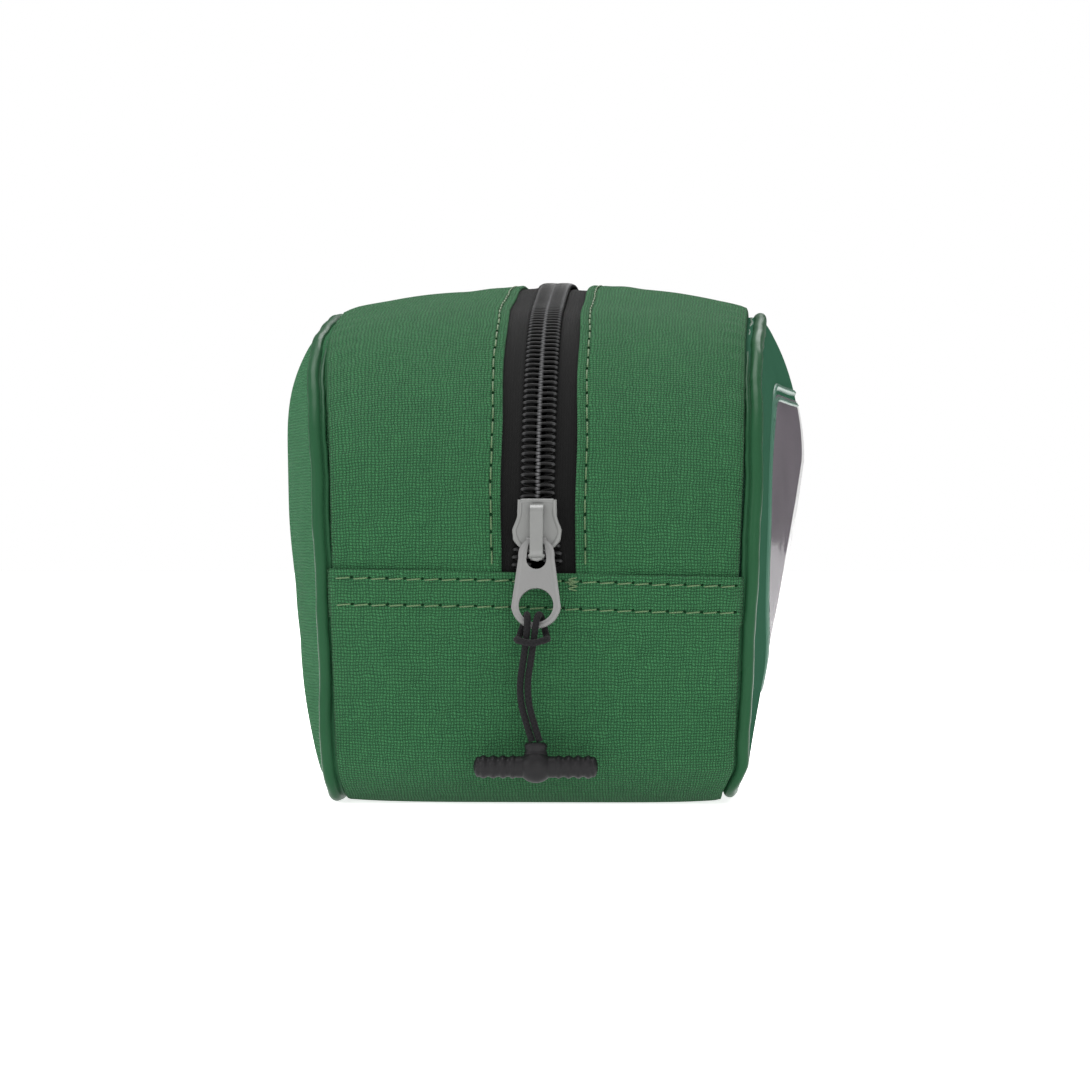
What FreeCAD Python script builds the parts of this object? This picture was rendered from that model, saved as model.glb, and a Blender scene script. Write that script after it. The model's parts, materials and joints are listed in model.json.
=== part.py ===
"""Zipped wash bag with a slider, a pull tab and a corded toggle.

Frame: the origin is the centre of the base, +Z is up, the bag's length lies along Y with the closed
end of the zip towards -Y, and +X is the side with the clear window.
"""
import FreeCAD, Part
import math
import os

import Sketcher
from FreeCAD import Placement, Rotation
from FreeCAD import Vector

doc = FreeCAD.newDocument("WashBag")

# Driving dimensions, in millimetres and degrees.
DIMENSIONS = {
    # outline of the bag seen from the side
    "length": 220, "seam_height": 45, "end_radius": 55, "end_angle": 79, "base_radius": 16,
    # cross-section of the woven strip
    "strip_width": 80, "flat_width": 56, "edge_radius": 20, "cloth": 0.6, "layer_gap": 0.1,
    "seam_allowance": 7, "lap": 8, "binding": 0.45, "binding_leg": 3.5,
    # side panels and piping
    "panel_start": 41.3, "panel_inset": 5.4, "bulge_left": 15, "bulge_right": 9, "piping_radius": 1.75,
    "piping_core_radius": 1.05, "piping_offset": 41.8, "piping_inset": 3.4,
    # window on the right-hand panel
    "window_length": 150, "window_base": 20, "window_top": 84, "window_corner": 28,
    "window_rim": 4, "backing": 0.4, "clear_sheet": 0.6, "rim_height": 1.9,
    # zip
    "zip_opening": 14.3, "tape_edge": 1.2, "tape_width": 13.8, "tape": 0.5, "coil_width": 3.15,
    "coil_height": 1.4, "centre_gap": 0.05, "chain_end": 1.0,
    # slider, in the frame of the arc that it runs on
    "slider_angle": 9.5, "slider_length": 10.5, "slider_rear": 7.5, "slider_width": 9.55,
    "plate": 0.95, "lower_plate": 0.85, "wall": 0.9, "running_gap": 0.15, "arc_sag": 0.3,
    "waist": 1.6, "waist_radius": 7, "shoulder": 0.6, "nose_start": 2.6, "nose_radius": 5.5,
    "post_rear": 1.7, "post_shoulder": 2.7, "post_nose": 4.3, "post_width": 1.8,
    "cap_width": 2.5, "cap_height": 2.45, "cap_wall": 0.8, "cap_rear": 4.2, "cap_nose": 6.5,
    "cap_bend": 1.5, "spring": 0.3, "spring_width": 1.1, "pawl": 0.35,
    # pull tab, measured from its own pivot bar
    "bar_radius": 0.6, "bar_offset": 2.9, "tab_length": 17.8, "tab_top": 3.5, "tab_base": 4.83,
    "tab_plate": 1.1, "ring_radius": 3.35, "ring_centre": 13.3, "eye_radius": 1.95, "eye_centre": 4.3,
    # cord and toggle
    "cord": 1.3, "cord_spacing": 1.45, "toggle_length": 24, "toggle_radius": 2.2, "hub_radius": 3.1,
    "hub_width": 5.6, "toggle_height": 8, "collar_width": 4.6, "collar_depth": 3.2, "collar_top": 12.7,
    # sewing
    "stitch_pitch": 3.4, "stitch_length": 2.7, "thread": 0.35, "zip_row": 9.1, "first_row": 1.6,
    "second_row": 6.9,
}

sheet = doc.addObject("Spreadsheet::Sheet", "Sizes")
for row, (alias, value) in enumerate(DIMENSIONS.items(), start=1):
    sheet.set(f"A{row}", alias)
    sheet.set(f"B{row}", str(value))
    sheet.setAlias(f"B{row}", alias)
doc.recompute()


def size(expression):
    """The value of an expression in the sheet's aliases."""
    return float(sheet.evalExpression(expression))


# Expressions that several sub-parts share.
UPPER_LEVEL = "(Sizes.cloth + Sizes.layer_gap)"
TAPE_LEVEL = "(2 * Sizes.cloth + 2 * Sizes.layer_gap)"
HALF_FLAT = "Sizes.flat_width / 2"
HALF_STRIP = "(Sizes.strip_width / 2)"
EDGE_DROP = f"(Sizes.edge_radius - sqrt(Sizes.edge_radius ^ 2 - ({HALF_STRIP} - {HALF_FLAT}) ^ 2))"
FLANGE_END = f"({EDGE_DROP} + Sizes.seam_allowance)"
TOP_RADIUS = "((Sizes.length / 2 - Sizes.end_radius) / cos(Sizes.end_angle) + Sizes.end_radius)"


# ---------------------------------------------------------------- bodies, sketches and sweeps

def new_body(label):
    body = doc.addObject("PartDesign::Body", label)
    body.Label = label
    return body


def new_sketch(body, name, role, offset=None):
    """A sketch on one of the body's own origin planes, lifted by an optional expression."""
    sketch = body.newObject("Sketcher::SketchObject", name)
    plane = next(item for item in body.Origin.OriginFeatures if item.Role == role)
    sketch.AttachmentSupport = [(plane, "")]
    sketch.MapMode = "FlatFace"
    if offset:
        sketch.setExpression("AttachmentOffset.Base.z", offset)
    return sketch


def pin_point(sketch, edge, end, corner):
    """Hold one end of an edge at a corner given as two expressions."""
    for kind, expression in zip(("DistanceX", "DistanceY"), corner[:2]):
        index = sketch.addConstraint(Sketcher.Constraint(kind, edge, end, size(expression)))
        sketch.setExpression(f"Constraints[{index}]", expression)


def draw(sketch, corners, closed=True):
    """Draw lines and arcs through the corners, every corner and radius bound to the sheet.

    A corner is (x, y) or (x, y, radius, side): then an arc runs from it to the next corner, with its
    centre on the left of the way there for side +1 and on the right for side -1.
    """
    count = len(corners) if closed else len(corners) - 1
    for index in range(count):
        corner = corners[index]
        following = corners[(index + 1) % len(corners)]
        start = Vector(size(corner[0]), size(corner[1]), 0)
        finish = Vector(size(following[0]), size(following[1]), 0)
        if len(corner) == 2:
            edge = sketch.addGeometry(Part.LineSegment(start, finish), False)
            pin_point(sketch, edge, 1, corner)
            pin_point(sketch, edge, 2, following)
            continue
        radius, side = size(corner[2]), corner[3]
        middle = (start + finish) * 0.5
        across = Vector(start.y - finish.y, finish.x - start.x, 0).normalize()
        reach = math.sqrt(max(radius ** 2 - (finish - middle).Length ** 2, 0))
        centre = middle + across * (side * reach)
        first, last = (start, finish) if side > 0 else (finish, start)
        angles = [math.atan2(point.y - centre.y, point.x - centre.x) for point in (first, last)]
        circle = Part.Circle(centre, Vector(0, 0, 1), radius)
        edge = sketch.addGeometry(Part.ArcOfCircle(circle, angles[0], angles[1]), False)
        pin_point(sketch, edge, 1 if side > 0 else 2, corner)
        pin_point(sketch, edge, 2 if side > 0 else 1, following)
        index_radius = sketch.addConstraint(Sketcher.Constraint("Radius", edge, radius))
        sketch.setExpression(f"Constraints[{index_radius}]", corner[2])


def draw_circle(sketch, centre_x, centre_y, radius):
    """A circle with its centre and radius bound to the sheet."""
    centre = Vector(size(centre_x), size(centre_y), 0)
    edge = sketch.addGeometry(Part.Circle(centre, Vector(0, 0, 1), size(radius)), False)
    pin_point(sketch, edge, 3, (centre_x, centre_y))
    index = sketch.addConstraint(Sketcher.Constraint("Radius", edge, size(radius)))
    sketch.setExpression(f"Constraints[{index}]", radius)


def pad(body, name, sketch, length, both_ways=False):
    feature = body.newObject("PartDesign::Pad", name)
    feature.Profile = sketch
    feature.setExpression("Length", length)
    feature.Midplane = both_ways
    return feature


def pocket(body, name, sketch, length):
    """A pocket that cuts both ways from its sketch."""
    feature = body.newObject("PartDesign::Pocket", name)
    feature.Profile = sketch
    feature.setExpression("Length", length)
    feature.Midplane = True
    return feature


def pipe(body, kind, name, section, spine):
    feature = body.newObject(f"PartDesign::{kind}Pipe", name)
    feature.Profile = (section, [""])
    feature.Spine = (spine, [])
    return feature


def loft(body, kind, name, sections):
    feature = body.newObject(f"PartDesign::{kind}Loft", name)
    feature.Profile = (sections[0], [""])
    feature.Sections = [(section, [""]) for section in sections[1:]]
    return feature


# ---------------------------------------------------------------- the outline seen from the side

def outline_corners(inset, scale="1"):
    """Corners of the closed side outline, in Y and Z, moved in by `inset` and scaled about its middle."""
    middle = "Sizes.seam_height"

    def point(y, z):
        return f"({scale}) * ({y})", f"{middle} + ({scale}) * ({z} - {middle})"

    end = f"(Sizes.end_radius - ({inset}))"
    knee_y = f"(Sizes.length / 2 - Sizes.end_radius + {end} * cos(Sizes.end_angle))"
    knee_z = f"(Sizes.seam_height + {end} * sin(Sizes.end_angle))"
    side_y = f"(Sizes.length / 2 - ({inset}))"
    foot_y = "(Sizes.length / 2 - Sizes.base_radius)"
    end_arc = (f"({scale}) * {end}", -1)
    top_arc = (f"({scale}) * ({TOP_RADIUS} - ({inset}))", -1)
    foot_arc = (f"({scale}) * (Sizes.base_radius - ({inset}))", -1)
    return [
        point(f"-{side_y}", "Sizes.seam_height") + end_arc,
        point(f"-{knee_y}", knee_z) + top_arc,
        point(knee_y, knee_z) + end_arc,
        point(side_y, "Sizes.seam_height"),
        point(side_y, "Sizes.base_radius") + foot_arc,
        point(foot_y, inset),
        point(f"-{foot_y}", inset) + foot_arc,
        point(f"-{side_y}", "Sizes.base_radius"),
    ]


def whole_spine(body, inset):
    sketch = new_sketch(body, "Spine", "YZ_Plane")
    draw(sketch, outline_corners(inset))
    return sketch


def upper_spine(body, drop):
    """The path over the top, from `drop` below the front seam to `drop` below the rear seam."""
    corners = outline_corners("0")
    low = f"Sizes.seam_height - ({drop})"
    sketch = new_sketch(body, "Spine", "YZ_Plane")
    draw(sketch, [(corners[0][0], low)] + corners[:4] + [(corners[3][0], low)], closed=False)
    return sketch


def lower_spine(body):
    """The path from the rear seam under the base to the front seam."""
    corners = outline_corners("0")
    sketch = new_sketch(body, "Spine", "YZ_Plane")
    draw(sketch, corners[3:] + [corners[0][:2]], closed=False)
    return sketch


def section_at(body, name, height):
    """A sketch across the front wall at a height; x is across the bag and y is minus the depth."""
    return new_sketch(body, name, "XY_Plane", height)


def inward(depth):
    """Sketch y of a point `depth` inside the outline's front wall."""
    return f"-Sizes.length / 2 + ({depth})"


# ---------------------------------------------------------------- woven strips

def lower_gusset():
    """The strip round the front, base and rear, with its edges turned in as seam allowances."""
    body = new_body("lower_gusset")
    inner = f"({HALF_STRIP} - Sizes.cloth)"
    inner_arc = "(Sizes.edge_radius - Sizes.cloth)"
    inner_drop = f"(Sizes.edge_radius - sqrt({inner_arc} ^ 2 - ({inner} - {HALF_FLAT}) ^ 2))"
    section = section_at(body, "Section", "Sizes.seam_height")
    draw(section, [
        (f"-{HALF_STRIP}", inward(EDGE_DROP), "Sizes.edge_radius", 1),
        (f"-{HALF_FLAT}", inward("0")),
        (HALF_FLAT, inward("0"), "Sizes.edge_radius", 1),
        (HALF_STRIP, inward(EDGE_DROP)),
        (HALF_STRIP, inward(FLANGE_END)),
        (inner, inward(FLANGE_END)),
        (inner, inward(inner_drop), inner_arc, -1),
        (HALF_FLAT, inward("Sizes.cloth")),
        (f"-{HALF_FLAT}", inward("Sizes.cloth"), inner_arc, -1),
        (f"-{inner}", inward(inner_drop)),
        (f"-{inner}", inward(FLANGE_END)),
        (f"-{HALF_STRIP}", inward(FLANGE_END)),
    ])
    pipe(body, "Additive", "Strip", section, lower_spine(body))
    return body


def upper_gusset(label, side):
    """One strip beside the zip; its ends lie inside the lower strip at both seams."""
    body = new_body(label)
    mirror = "" if side > 0 else "-"
    edge = f"({HALF_STRIP} - {UPPER_LEVEL})"
    inner = f"({edge} - Sizes.cloth)"
    outer_arc = f"(Sizes.edge_radius - {UPPER_LEVEL})"
    inner_arc = f"({outer_arc} - Sizes.cloth)"
    outer_drop = f"(Sizes.edge_radius - sqrt({outer_arc} ^ 2 - ({edge} - {HALF_FLAT}) ^ 2))"
    inner_drop = f"(Sizes.edge_radius - sqrt({inner_arc} ^ 2 - ({inner} - {HALF_FLAT}) ^ 2))"
    under = f"({UPPER_LEVEL} + Sizes.cloth)"
    section = section_at(body, "Section", "Sizes.seam_height - Sizes.lap")
    draw(section, [
        (f"{mirror}Sizes.zip_opening / 2", inward(UPPER_LEVEL)),
        (f"{mirror}{HALF_FLAT}", inward(UPPER_LEVEL), outer_arc, side),
        (f"{mirror}{edge}", inward(outer_drop)),
        (f"{mirror}{edge}", inward(FLANGE_END)),
        (f"{mirror}{inner}", inward(FLANGE_END)),
        (f"{mirror}{inner}", inward(inner_drop), inner_arc, -side),
        (f"{mirror}{HALF_FLAT}", inward(under)),
        (f"{mirror}Sizes.zip_opening / 2", inward(under)),
    ])
    pipe(body, "Additive", "Strip", section, upper_spine(body, "Sizes.lap"))
    return body


# ---------------------------------------------------------------- piping and bound seams

def piping(label, side):
    """The cover of one piping cord: a tube with a flange that is sewn into the side seam."""
    body = new_body(label)
    mirror = "" if side > 0 else "-"
    across = f"{mirror}Sizes.piping_offset"
    depth = inward("Sizes.piping_inset")
    spine = whole_spine(body, "Sizes.piping_inset")
    outer = section_at(body, "Cover", "Sizes.seam_height")
    draw_circle(outer, across, depth, "Sizes.piping_radius")
    pipe(body, "Additive", "Tube", outer, spine)
    root = f"{HALF_STRIP} + Sizes.layer_gap"
    edge = "Sizes.panel_start - Sizes.layer_gap"
    flange = section_at(body, "Flange", "Sizes.seam_height")
    draw(flange, [
        (f"{mirror}({root})", inward("Sizes.piping_inset + Sizes.piping_radius / 2")),
        (f"{mirror}({edge})", inward("Sizes.piping_inset + Sizes.piping_radius / 2")),
        (f"{mirror}({edge})", inward(FLANGE_END)),
        (f"{mirror}({root})", inward(FLANGE_END)),
    ])
    pipe(body, "Additive", "SewnFlange", flange, spine)
    inner = section_at(body, "Bore", "Sizes.seam_height")
    draw_circle(inner, across, depth, "Sizes.piping_core_radius + Sizes.layer_gap / 2")
    pipe(body, "Subtractive", "Hollow", inner, spine)
    return body


def piping_core(label, side):
    """The cord inside one piping."""
    body = new_body(label)
    mirror = "" if side > 0 else "-"
    section = section_at(body, "Section", "Sizes.seam_height")
    draw_circle(section, f"{mirror}Sizes.piping_offset", inward("Sizes.piping_inset"),
                "Sizes.piping_core_radius")
    pipe(body, "Additive", "Cord", section, whole_spine(body, "Sizes.piping_inset"))
    return body


def seam_binding(label, side):
    """A folded tape round the raw edges of one side seam, inside the bag."""
    body = new_body(label)
    mirror = "" if side > 0 else "-"
    near = f"({HALF_STRIP} - 3 * Sizes.layer_gap - 2 * Sizes.cloth)"
    far = "(Sizes.panel_start + Sizes.cloth + Sizes.layer_gap)"
    leg = "Sizes.binding"
    mouth = f"({FLANGE_END} - Sizes.binding_leg)"
    fold = f"({FLANGE_END} + Sizes.layer_gap)"
    section = section_at(body, "Section", "Sizes.seam_height")
    draw(section, [
        (f"{mirror}({near} - {leg})", inward(mouth)),
        (f"{mirror}{near}", inward(mouth)),
        (f"{mirror}{near}", inward(fold)),
        (f"{mirror}{far}", inward(fold)),
        (f"{mirror}{far}", inward(mouth)),
        (f"{mirror}({far} + {leg})", inward(mouth)),
        (f"{mirror}({far} + {leg})", inward(f"{fold} + {leg}")),
        (f"{mirror}({near} - {leg})", inward(f"{fold} + {leg}")),
    ])
    pipe(body, "Additive", "Tape", section, whole_spine(body, "0"))
    return body


# ---------------------------------------------------------------- domed side panels and the window

# How far out each section of a dome lies, as a share of the bulge, and how large it is.
DOME_SECTIONS = [("0", "1"), ("0.34", "0.965"), ("0.68", "0.87"), ("0.92", "0.68"), ("1", "0.4")]


def dome(body, kind, name, side, growth):
    """A loft from the side seam out to the middle of a panel, `growth` outside its inner face."""
    mirror, bulge = ("", "Sizes.bulge_right") if side > 0 else ("-", "Sizes.bulge_left")
    sections = []
    for number, (share, scale) in enumerate(DOME_SECTIONS):
        lift = f"Sizes.panel_start + ({share}) * {bulge}"
        if number:
            lift = f"{lift} + ({growth})"
        sketch = new_sketch(body, f"{name}{number}", "YZ_Plane", f"{mirror}({lift})")
        draw(sketch, outline_corners(f"Sizes.panel_inset + Sizes.cloth - ({growth})", scale))
        sections.append(sketch)
    return loft(body, kind, name, sections)


def side_panel(label, side):
    """A domed panel with a flat seam allowance round its edge."""
    body = new_body(label)
    dome(body, "Additive", "Outer", side, "Sizes.cloth")
    rim = new_sketch(body, "Allowance", "YZ_Plane", f"{'' if side > 0 else '-'}Sizes.panel_start")
    draw(rim, outline_corners("Sizes.panel_inset"))
    feature = pad(body, "Flange", rim, "Sizes.cloth")
    feature.Reversed = side < 0
    dome(body, "Subtractive", "Inner", side, "0")
    clear = new_sketch(body, "Opening", "YZ_Plane", f"{'' if side > 0 else '-'}Sizes.panel_start")
    draw(clear, outline_corners(FLANGE_END))
    pocket(body, "FlangeOpening", clear, "4 * Sizes.cloth")
    return body


def window_piece(label, inner_growth, outer_growth, border, hole_border=None):
    """A curved layer on the right-hand panel, trimmed to a rounded rectangle."""
    body = new_body(label)
    dome(body, "Additive", "Outer", 1, outer_growth)
    dome(body, "Subtractive", "Inner", 1, inner_growth)
    trim = new_sketch(body, "Trim", "YZ_Plane", "Sizes.panel_start")
    reach = "(Sizes.length / 2)"
    draw(trim, [(f"-{reach}", "-1"), (reach, "-1"), (reach, f"2 * {reach}"), (f"-{reach}", f"2 * {reach}")])
    draw(trim, window_outline(border))
    pocket(body, "Outline", trim, "8 * Sizes.bulge_right")
    if hole_border:
        hole = new_sketch(body, "Hole", "YZ_Plane", "Sizes.panel_start")
        draw(hole, window_outline(hole_border))
        pocket(body, "Opening", hole, "8 * Sizes.bulge_right")
    return body


def window_outline(border):
    """A rounded rectangle, moved in from the window's outer edge by `border`."""
    end = f"(Sizes.window_length / 2 - ({border}))"
    low = f"(Sizes.window_base + ({border}))"
    high = f"(Sizes.window_top - ({border}))"
    radius = f"(Sizes.window_corner - ({border}))"
    return [
        (f"{radius} - {end}", low),
        (f"{end} - {radius}", low, radius, 1),
        (end, f"{low} + {radius}"),
        (end, f"{high} - {radius}", radius, 1),
        (f"{end} - {radius}", high),
        (f"{radius} - {end}", high, radius, 1),
        (f"-{end}", f"{high} - {radius}"),
        (f"-{end}", f"{low} + {radius}", radius, 1),
    ]


def window():
    """The insert, the clear sheet over it and the thick clear rim round both."""
    start = "Sizes.cloth + 0.3"
    cover = f"{start} + Sizes.backing + 0.2"
    inside = "Sizes.window_rim + Sizes.layer_gap"
    return [
        window_piece("window_backing", start, f"{start} + Sizes.backing", inside),
        window_piece("window_sheet", cover, f"{cover} + Sizes.clear_sheet", inside),
        window_piece("window_rim", start, f"{start} + Sizes.rim_height", "0", "Sizes.window_rim"),
    ]


# ---------------------------------------------------------------- zip tapes and coils

def zip_tape(label, side):
    body = new_body(label)
    mirror = "" if side > 0 else "-"
    near = "Sizes.tape_edge"
    far = "(Sizes.tape_edge + Sizes.tape_width)"
    section = section_at(body, "Section", "Sizes.seam_height - Sizes.lap")
    draw(section, [
        (f"{mirror}{near}", inward(TAPE_LEVEL)),
        (f"{mirror}{far}", inward(TAPE_LEVEL)),
        (f"{mirror}{far}", inward(f"{TAPE_LEVEL} + Sizes.tape")),
        (f"{mirror}{near}", inward(f"{TAPE_LEVEL} + Sizes.tape")),
    ])
    pipe(body, "Additive", "Tape", section, upper_spine(body, "Sizes.lap"))
    return body


def zip_coil(label, side):
    """Half of the closed chain as a swept bar, with the open end that spreads below the slider."""
    body = new_body(label)
    mirror = "" if side > 0 else "-"
    near = f"{mirror}Sizes.centre_gap"
    far = f"{mirror}(Sizes.centre_gap + Sizes.coil_width)"
    foot = f"({TAPE_LEVEL} - Sizes.layer_gap / 2)"
    crest = f"({TAPE_LEVEL} - Sizes.coil_height)"
    rear = "Sizes.length / 2"
    section = section_at(body, "Section", "Sizes.seam_height")
    draw(section, [
        (near, f"{rear} - {crest}"),
        (far, f"{rear} - {crest}"),
        (far, f"{rear} - {foot}"),
        (near, f"{rear} - {foot}"),
    ])
    pipe(body, "Additive", "ClosedChain", section, coil_spine(body))
    tail = slider_sketch(body, "TailOutline", f"Sizes.end_radius - {foot}")
    draw(tail, [
        (near, "0.5 - Sizes.chain_end"),
        (far, "0.5 - Sizes.chain_end"),
        (f"{mirror}6", "-8"),
        (f"{mirror}3.5", "-8"),
        (f"{mirror}1.25", "-Sizes.chain_end - 1.2"),
    ])
    pad(body, "OpenEnd", tail, f"{foot} - {crest}")
    return body


def coil_spine(body):
    """The zip's path from the rear seam over the top to the inside of the slider."""
    corners = outline_corners("0")
    reach = "(Sizes.slider_angle - Sizes.chain_end / Sizes.end_radius * 180 / pi)"
    front = (f"Sizes.end_radius - Sizes.length / 2 - Sizes.end_radius * cos({reach})",
             f"Sizes.seam_height + Sizes.end_radius * sin({reach})")
    rear, rear_knee, front_knee = (corners[index][:2] for index in (3, 2, 1))
    spine = new_sketch(body, "Spine", "YZ_Plane")
    draw(spine, [
        rear + ("Sizes.end_radius", 1),
        rear_knee + (TOP_RADIUS, 1),
        front_knee + ("Sizes.end_radius", 1),
        front,
    ], closed=False)
    return spine


# ---------------------------------------------------------------- slider, in its own frame

def slider_sketch(body, name, level):
    """A sketch across the zip at a level above the arc's centre; x is across and y is up the zip."""
    sketch = new_sketch(body, name, "XY_Plane")
    sketch.AttachmentOffset = Placement(Vector(0, 0, 0), Rotation(Vector(1, 0, 0), 80))
    centre_y = "Sizes.end_radius - Sizes.length / 2"
    sketch.setExpression("AttachmentOffset.Base.y", f"{centre_y} - ({level}) * cos(Sizes.slider_angle)")
    sketch.setExpression("AttachmentOffset.Base.z",
                         f"Sizes.seam_height + ({level}) * sin(Sizes.slider_angle)")
    sketch.setExpression("AttachmentOffset.Rotation.Angle", "90 - Sizes.slider_angle")
    return sketch


def slider_side_sketch(body, name):
    """A sketch in the zip's middle plane; x is up the zip and y is out from the arc's centre."""
    sketch = new_sketch(body, name, "YZ_Plane")
    sketch.AttachmentOffset = Placement(Vector(0, 0, 0), Rotation(Vector(0, 0, 1), 80))
    sketch.setExpression("AttachmentOffset.Base.x", "Sizes.end_radius - Sizes.length / 2")
    sketch.setExpression("AttachmentOffset.Base.y", "Sizes.seam_height")
    sketch.setExpression("AttachmentOffset.Rotation.Angle", "90 - Sizes.slider_angle")
    return sketch


TAPE_FACE = f"(Sizes.end_radius - {TAPE_LEVEL})"
PLATE_UNDER = f"({TAPE_FACE} + Sizes.coil_height + Sizes.running_gap)"
PLATE_TOP = f"({PLATE_UNDER} + Sizes.plate)"
PIVOT_LEVEL = f"({PLATE_TOP} + Sizes.bar_radius + 0.1)"
HALF_SLIDER = "(Sizes.slider_length / 2)"
HALF_REAR = "(Sizes.slider_rear / 2)"
HALF_WIDE = "(Sizes.slider_width / 2)"


def slider_outline():
    """The slider seen from outside: a narrow rear edge, hollow sides, shoulders and a blunt nose."""
    return [
        (f"-{HALF_REAR}", HALF_SLIDER),
        (f"-{HALF_REAR} - 0.1", "Sizes.waist", "Sizes.waist_radius", -1),
        (f"-{HALF_WIDE}", "-Sizes.shoulder"),
        (f"-{HALF_WIDE} + 0.2", "-Sizes.nose_start", "Sizes.nose_radius", 1),
        ("0", f"-{HALF_SLIDER}", "Sizes.nose_radius", 1),
        (f"{HALF_WIDE} - 0.2", "-Sizes.nose_start"),
        (HALF_WIDE, "-Sizes.shoulder", "Sizes.waist_radius", -1),
        (f"{HALF_REAR} + 0.1", "Sizes.waist"),
        (HALF_REAR, HALF_SLIDER),
    ]


def slider_body():
    """Two plates joined by a post at the nose, with walls that guide the coils."""
    body = new_body("slider_body")
    upper = slider_sketch(body, "UpperPlate", PLATE_UNDER)
    draw(upper, slider_outline())
    pad(body, "Upper", upper, "Sizes.plate")
    for side, mirror in (("Left", "-"), ("Right", "")):
        wall = slider_sketch(body, f"{side}WallOutline", f"{TAPE_FACE} + Sizes.running_gap")
        guide = "Sizes.centre_gap + Sizes.coil_width + 0.1"
        draw(wall, [
            (f"{mirror}({guide})", HALF_SLIDER),
            (f"{mirror}({guide})", "-0.3"),
            (f"{mirror}({guide} + Sizes.wall)", "-0.1"),
            (f"{mirror}({guide} + 0.35)", "1.8"),
            (f"{mirror}({guide} + 0.35)", HALF_SLIDER),
        ])
        pad(body, f"{side}Wall", wall, "Sizes.coil_height + Sizes.running_gap / 2")
    lower_face = f"({TAPE_FACE} - Sizes.tape - Sizes.arc_sag - Sizes.running_gap)"
    lower = slider_sketch(body, "LowerPlate", f"{lower_face} - Sizes.lower_plate")
    draw(lower, slider_outline())
    pad(body, "Lower", lower, "Sizes.lower_plate")
    post = slider_sketch(body, "PostOutline", f"{lower_face} - Sizes.lower_plate / 2")
    half = "(Sizes.post_width / 2)"
    draw(post, [
        ("0", "-Sizes.post_rear"),
        (f"-{half}", "-Sizes.post_shoulder"),
        (f"-{half}", "-Sizes.post_nose"),
        (half, "-Sizes.post_nose"),
        (half, "-Sizes.post_shoulder"),
    ])
    pad(body, "Post", post, f"{PLATE_UNDER} - {lower_face} + Sizes.lower_plate")
    slot = slider_sketch(body, "PawlSlot", PLATE_TOP)
    draw(slot, [("-0.7", "-0.9"), ("0.7", "-0.9"), ("0.7", "0.5"), ("-0.7", "0.5")])
    pocket(body, "PawlOpening", slot, "2 * Sizes.plate + Sizes.running_gap")
    return body


def slider_cap():
    """The bridge over the slider: a rear foot, an arch and a lip bent down over the nose."""
    body = new_body("slider_cap")
    side = slider_side_sketch(body, "Side")
    crown = f"{PLATE_TOP} + Sizes.cap_height"
    soffit = f"{crown} - Sizes.cap_wall"
    tip = f"{PLATE_UNDER} - 0.1"
    inner_nose = "-(Sizes.cap_nose - Sizes.cap_wall)"
    bend_start = "-(Sizes.cap_nose - Sizes.cap_bend)"
    inner_rear = "(Sizes.cap_rear - Sizes.cap_bend - 0.3)"
    draw(side, [
        ("Sizes.cap_rear", PLATE_TOP),
        ("Sizes.cap_rear", f"{PLATE_TOP} + 0.7", "Sizes.cap_bend + 0.4", 1),
        ("Sizes.cap_rear - Sizes.cap_bend - 0.1", crown),
        (bend_start, crown, "Sizes.cap_bend + 0.1", 1),
        ("-Sizes.cap_nose", f"{crown} - Sizes.cap_bend"),
        ("-Sizes.cap_nose", tip),
        (inner_nose, tip),
        (inner_nose, f"{soffit} - Sizes.cap_bend + Sizes.cap_wall", "Sizes.cap_wall", -1),
        (bend_start, soffit),
        (inner_rear, soffit),
        (inner_rear, PLATE_TOP),
    ])
    pad(body, "Bridge", side, "Sizes.cap_width", both_ways=True)
    return body


def lock_spring():
    """The leaf under the bridge, with the pawl that drops between the coils."""
    body = new_body("lock_spring")
    side = slider_side_sketch(body, "Side")
    lift = f"{PLATE_TOP} + 0.05"
    rear = "Sizes.cap_rear - Sizes.cap_bend - 0.35"
    pawl_rear, pawl_nose = "-Sizes.spring", "-(Sizes.spring + Sizes.pawl)"
    draw(side, [
        (rear, lift),
        (rear, f"{lift} + Sizes.spring"),
        (pawl_nose, f"{lift} + Sizes.spring"),
        (pawl_nose, f"{PLATE_UNDER} + 0.1"),
        (pawl_rear, f"{PLATE_UNDER} + 0.1"),
        (pawl_rear, lift),
    ])
    pad(body, "Leaf", side, "Sizes.spring_width", both_ways=True)
    return body


# ---------------------------------------------------------------- pull tab, cord and toggle

def down_tab(distance):
    """Slider-frame y of a point on the tab, measured down from the outer edge of its pivot bar."""
    return f"Sizes.bar_radius - Sizes.bar_offset - ({distance})"


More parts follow.
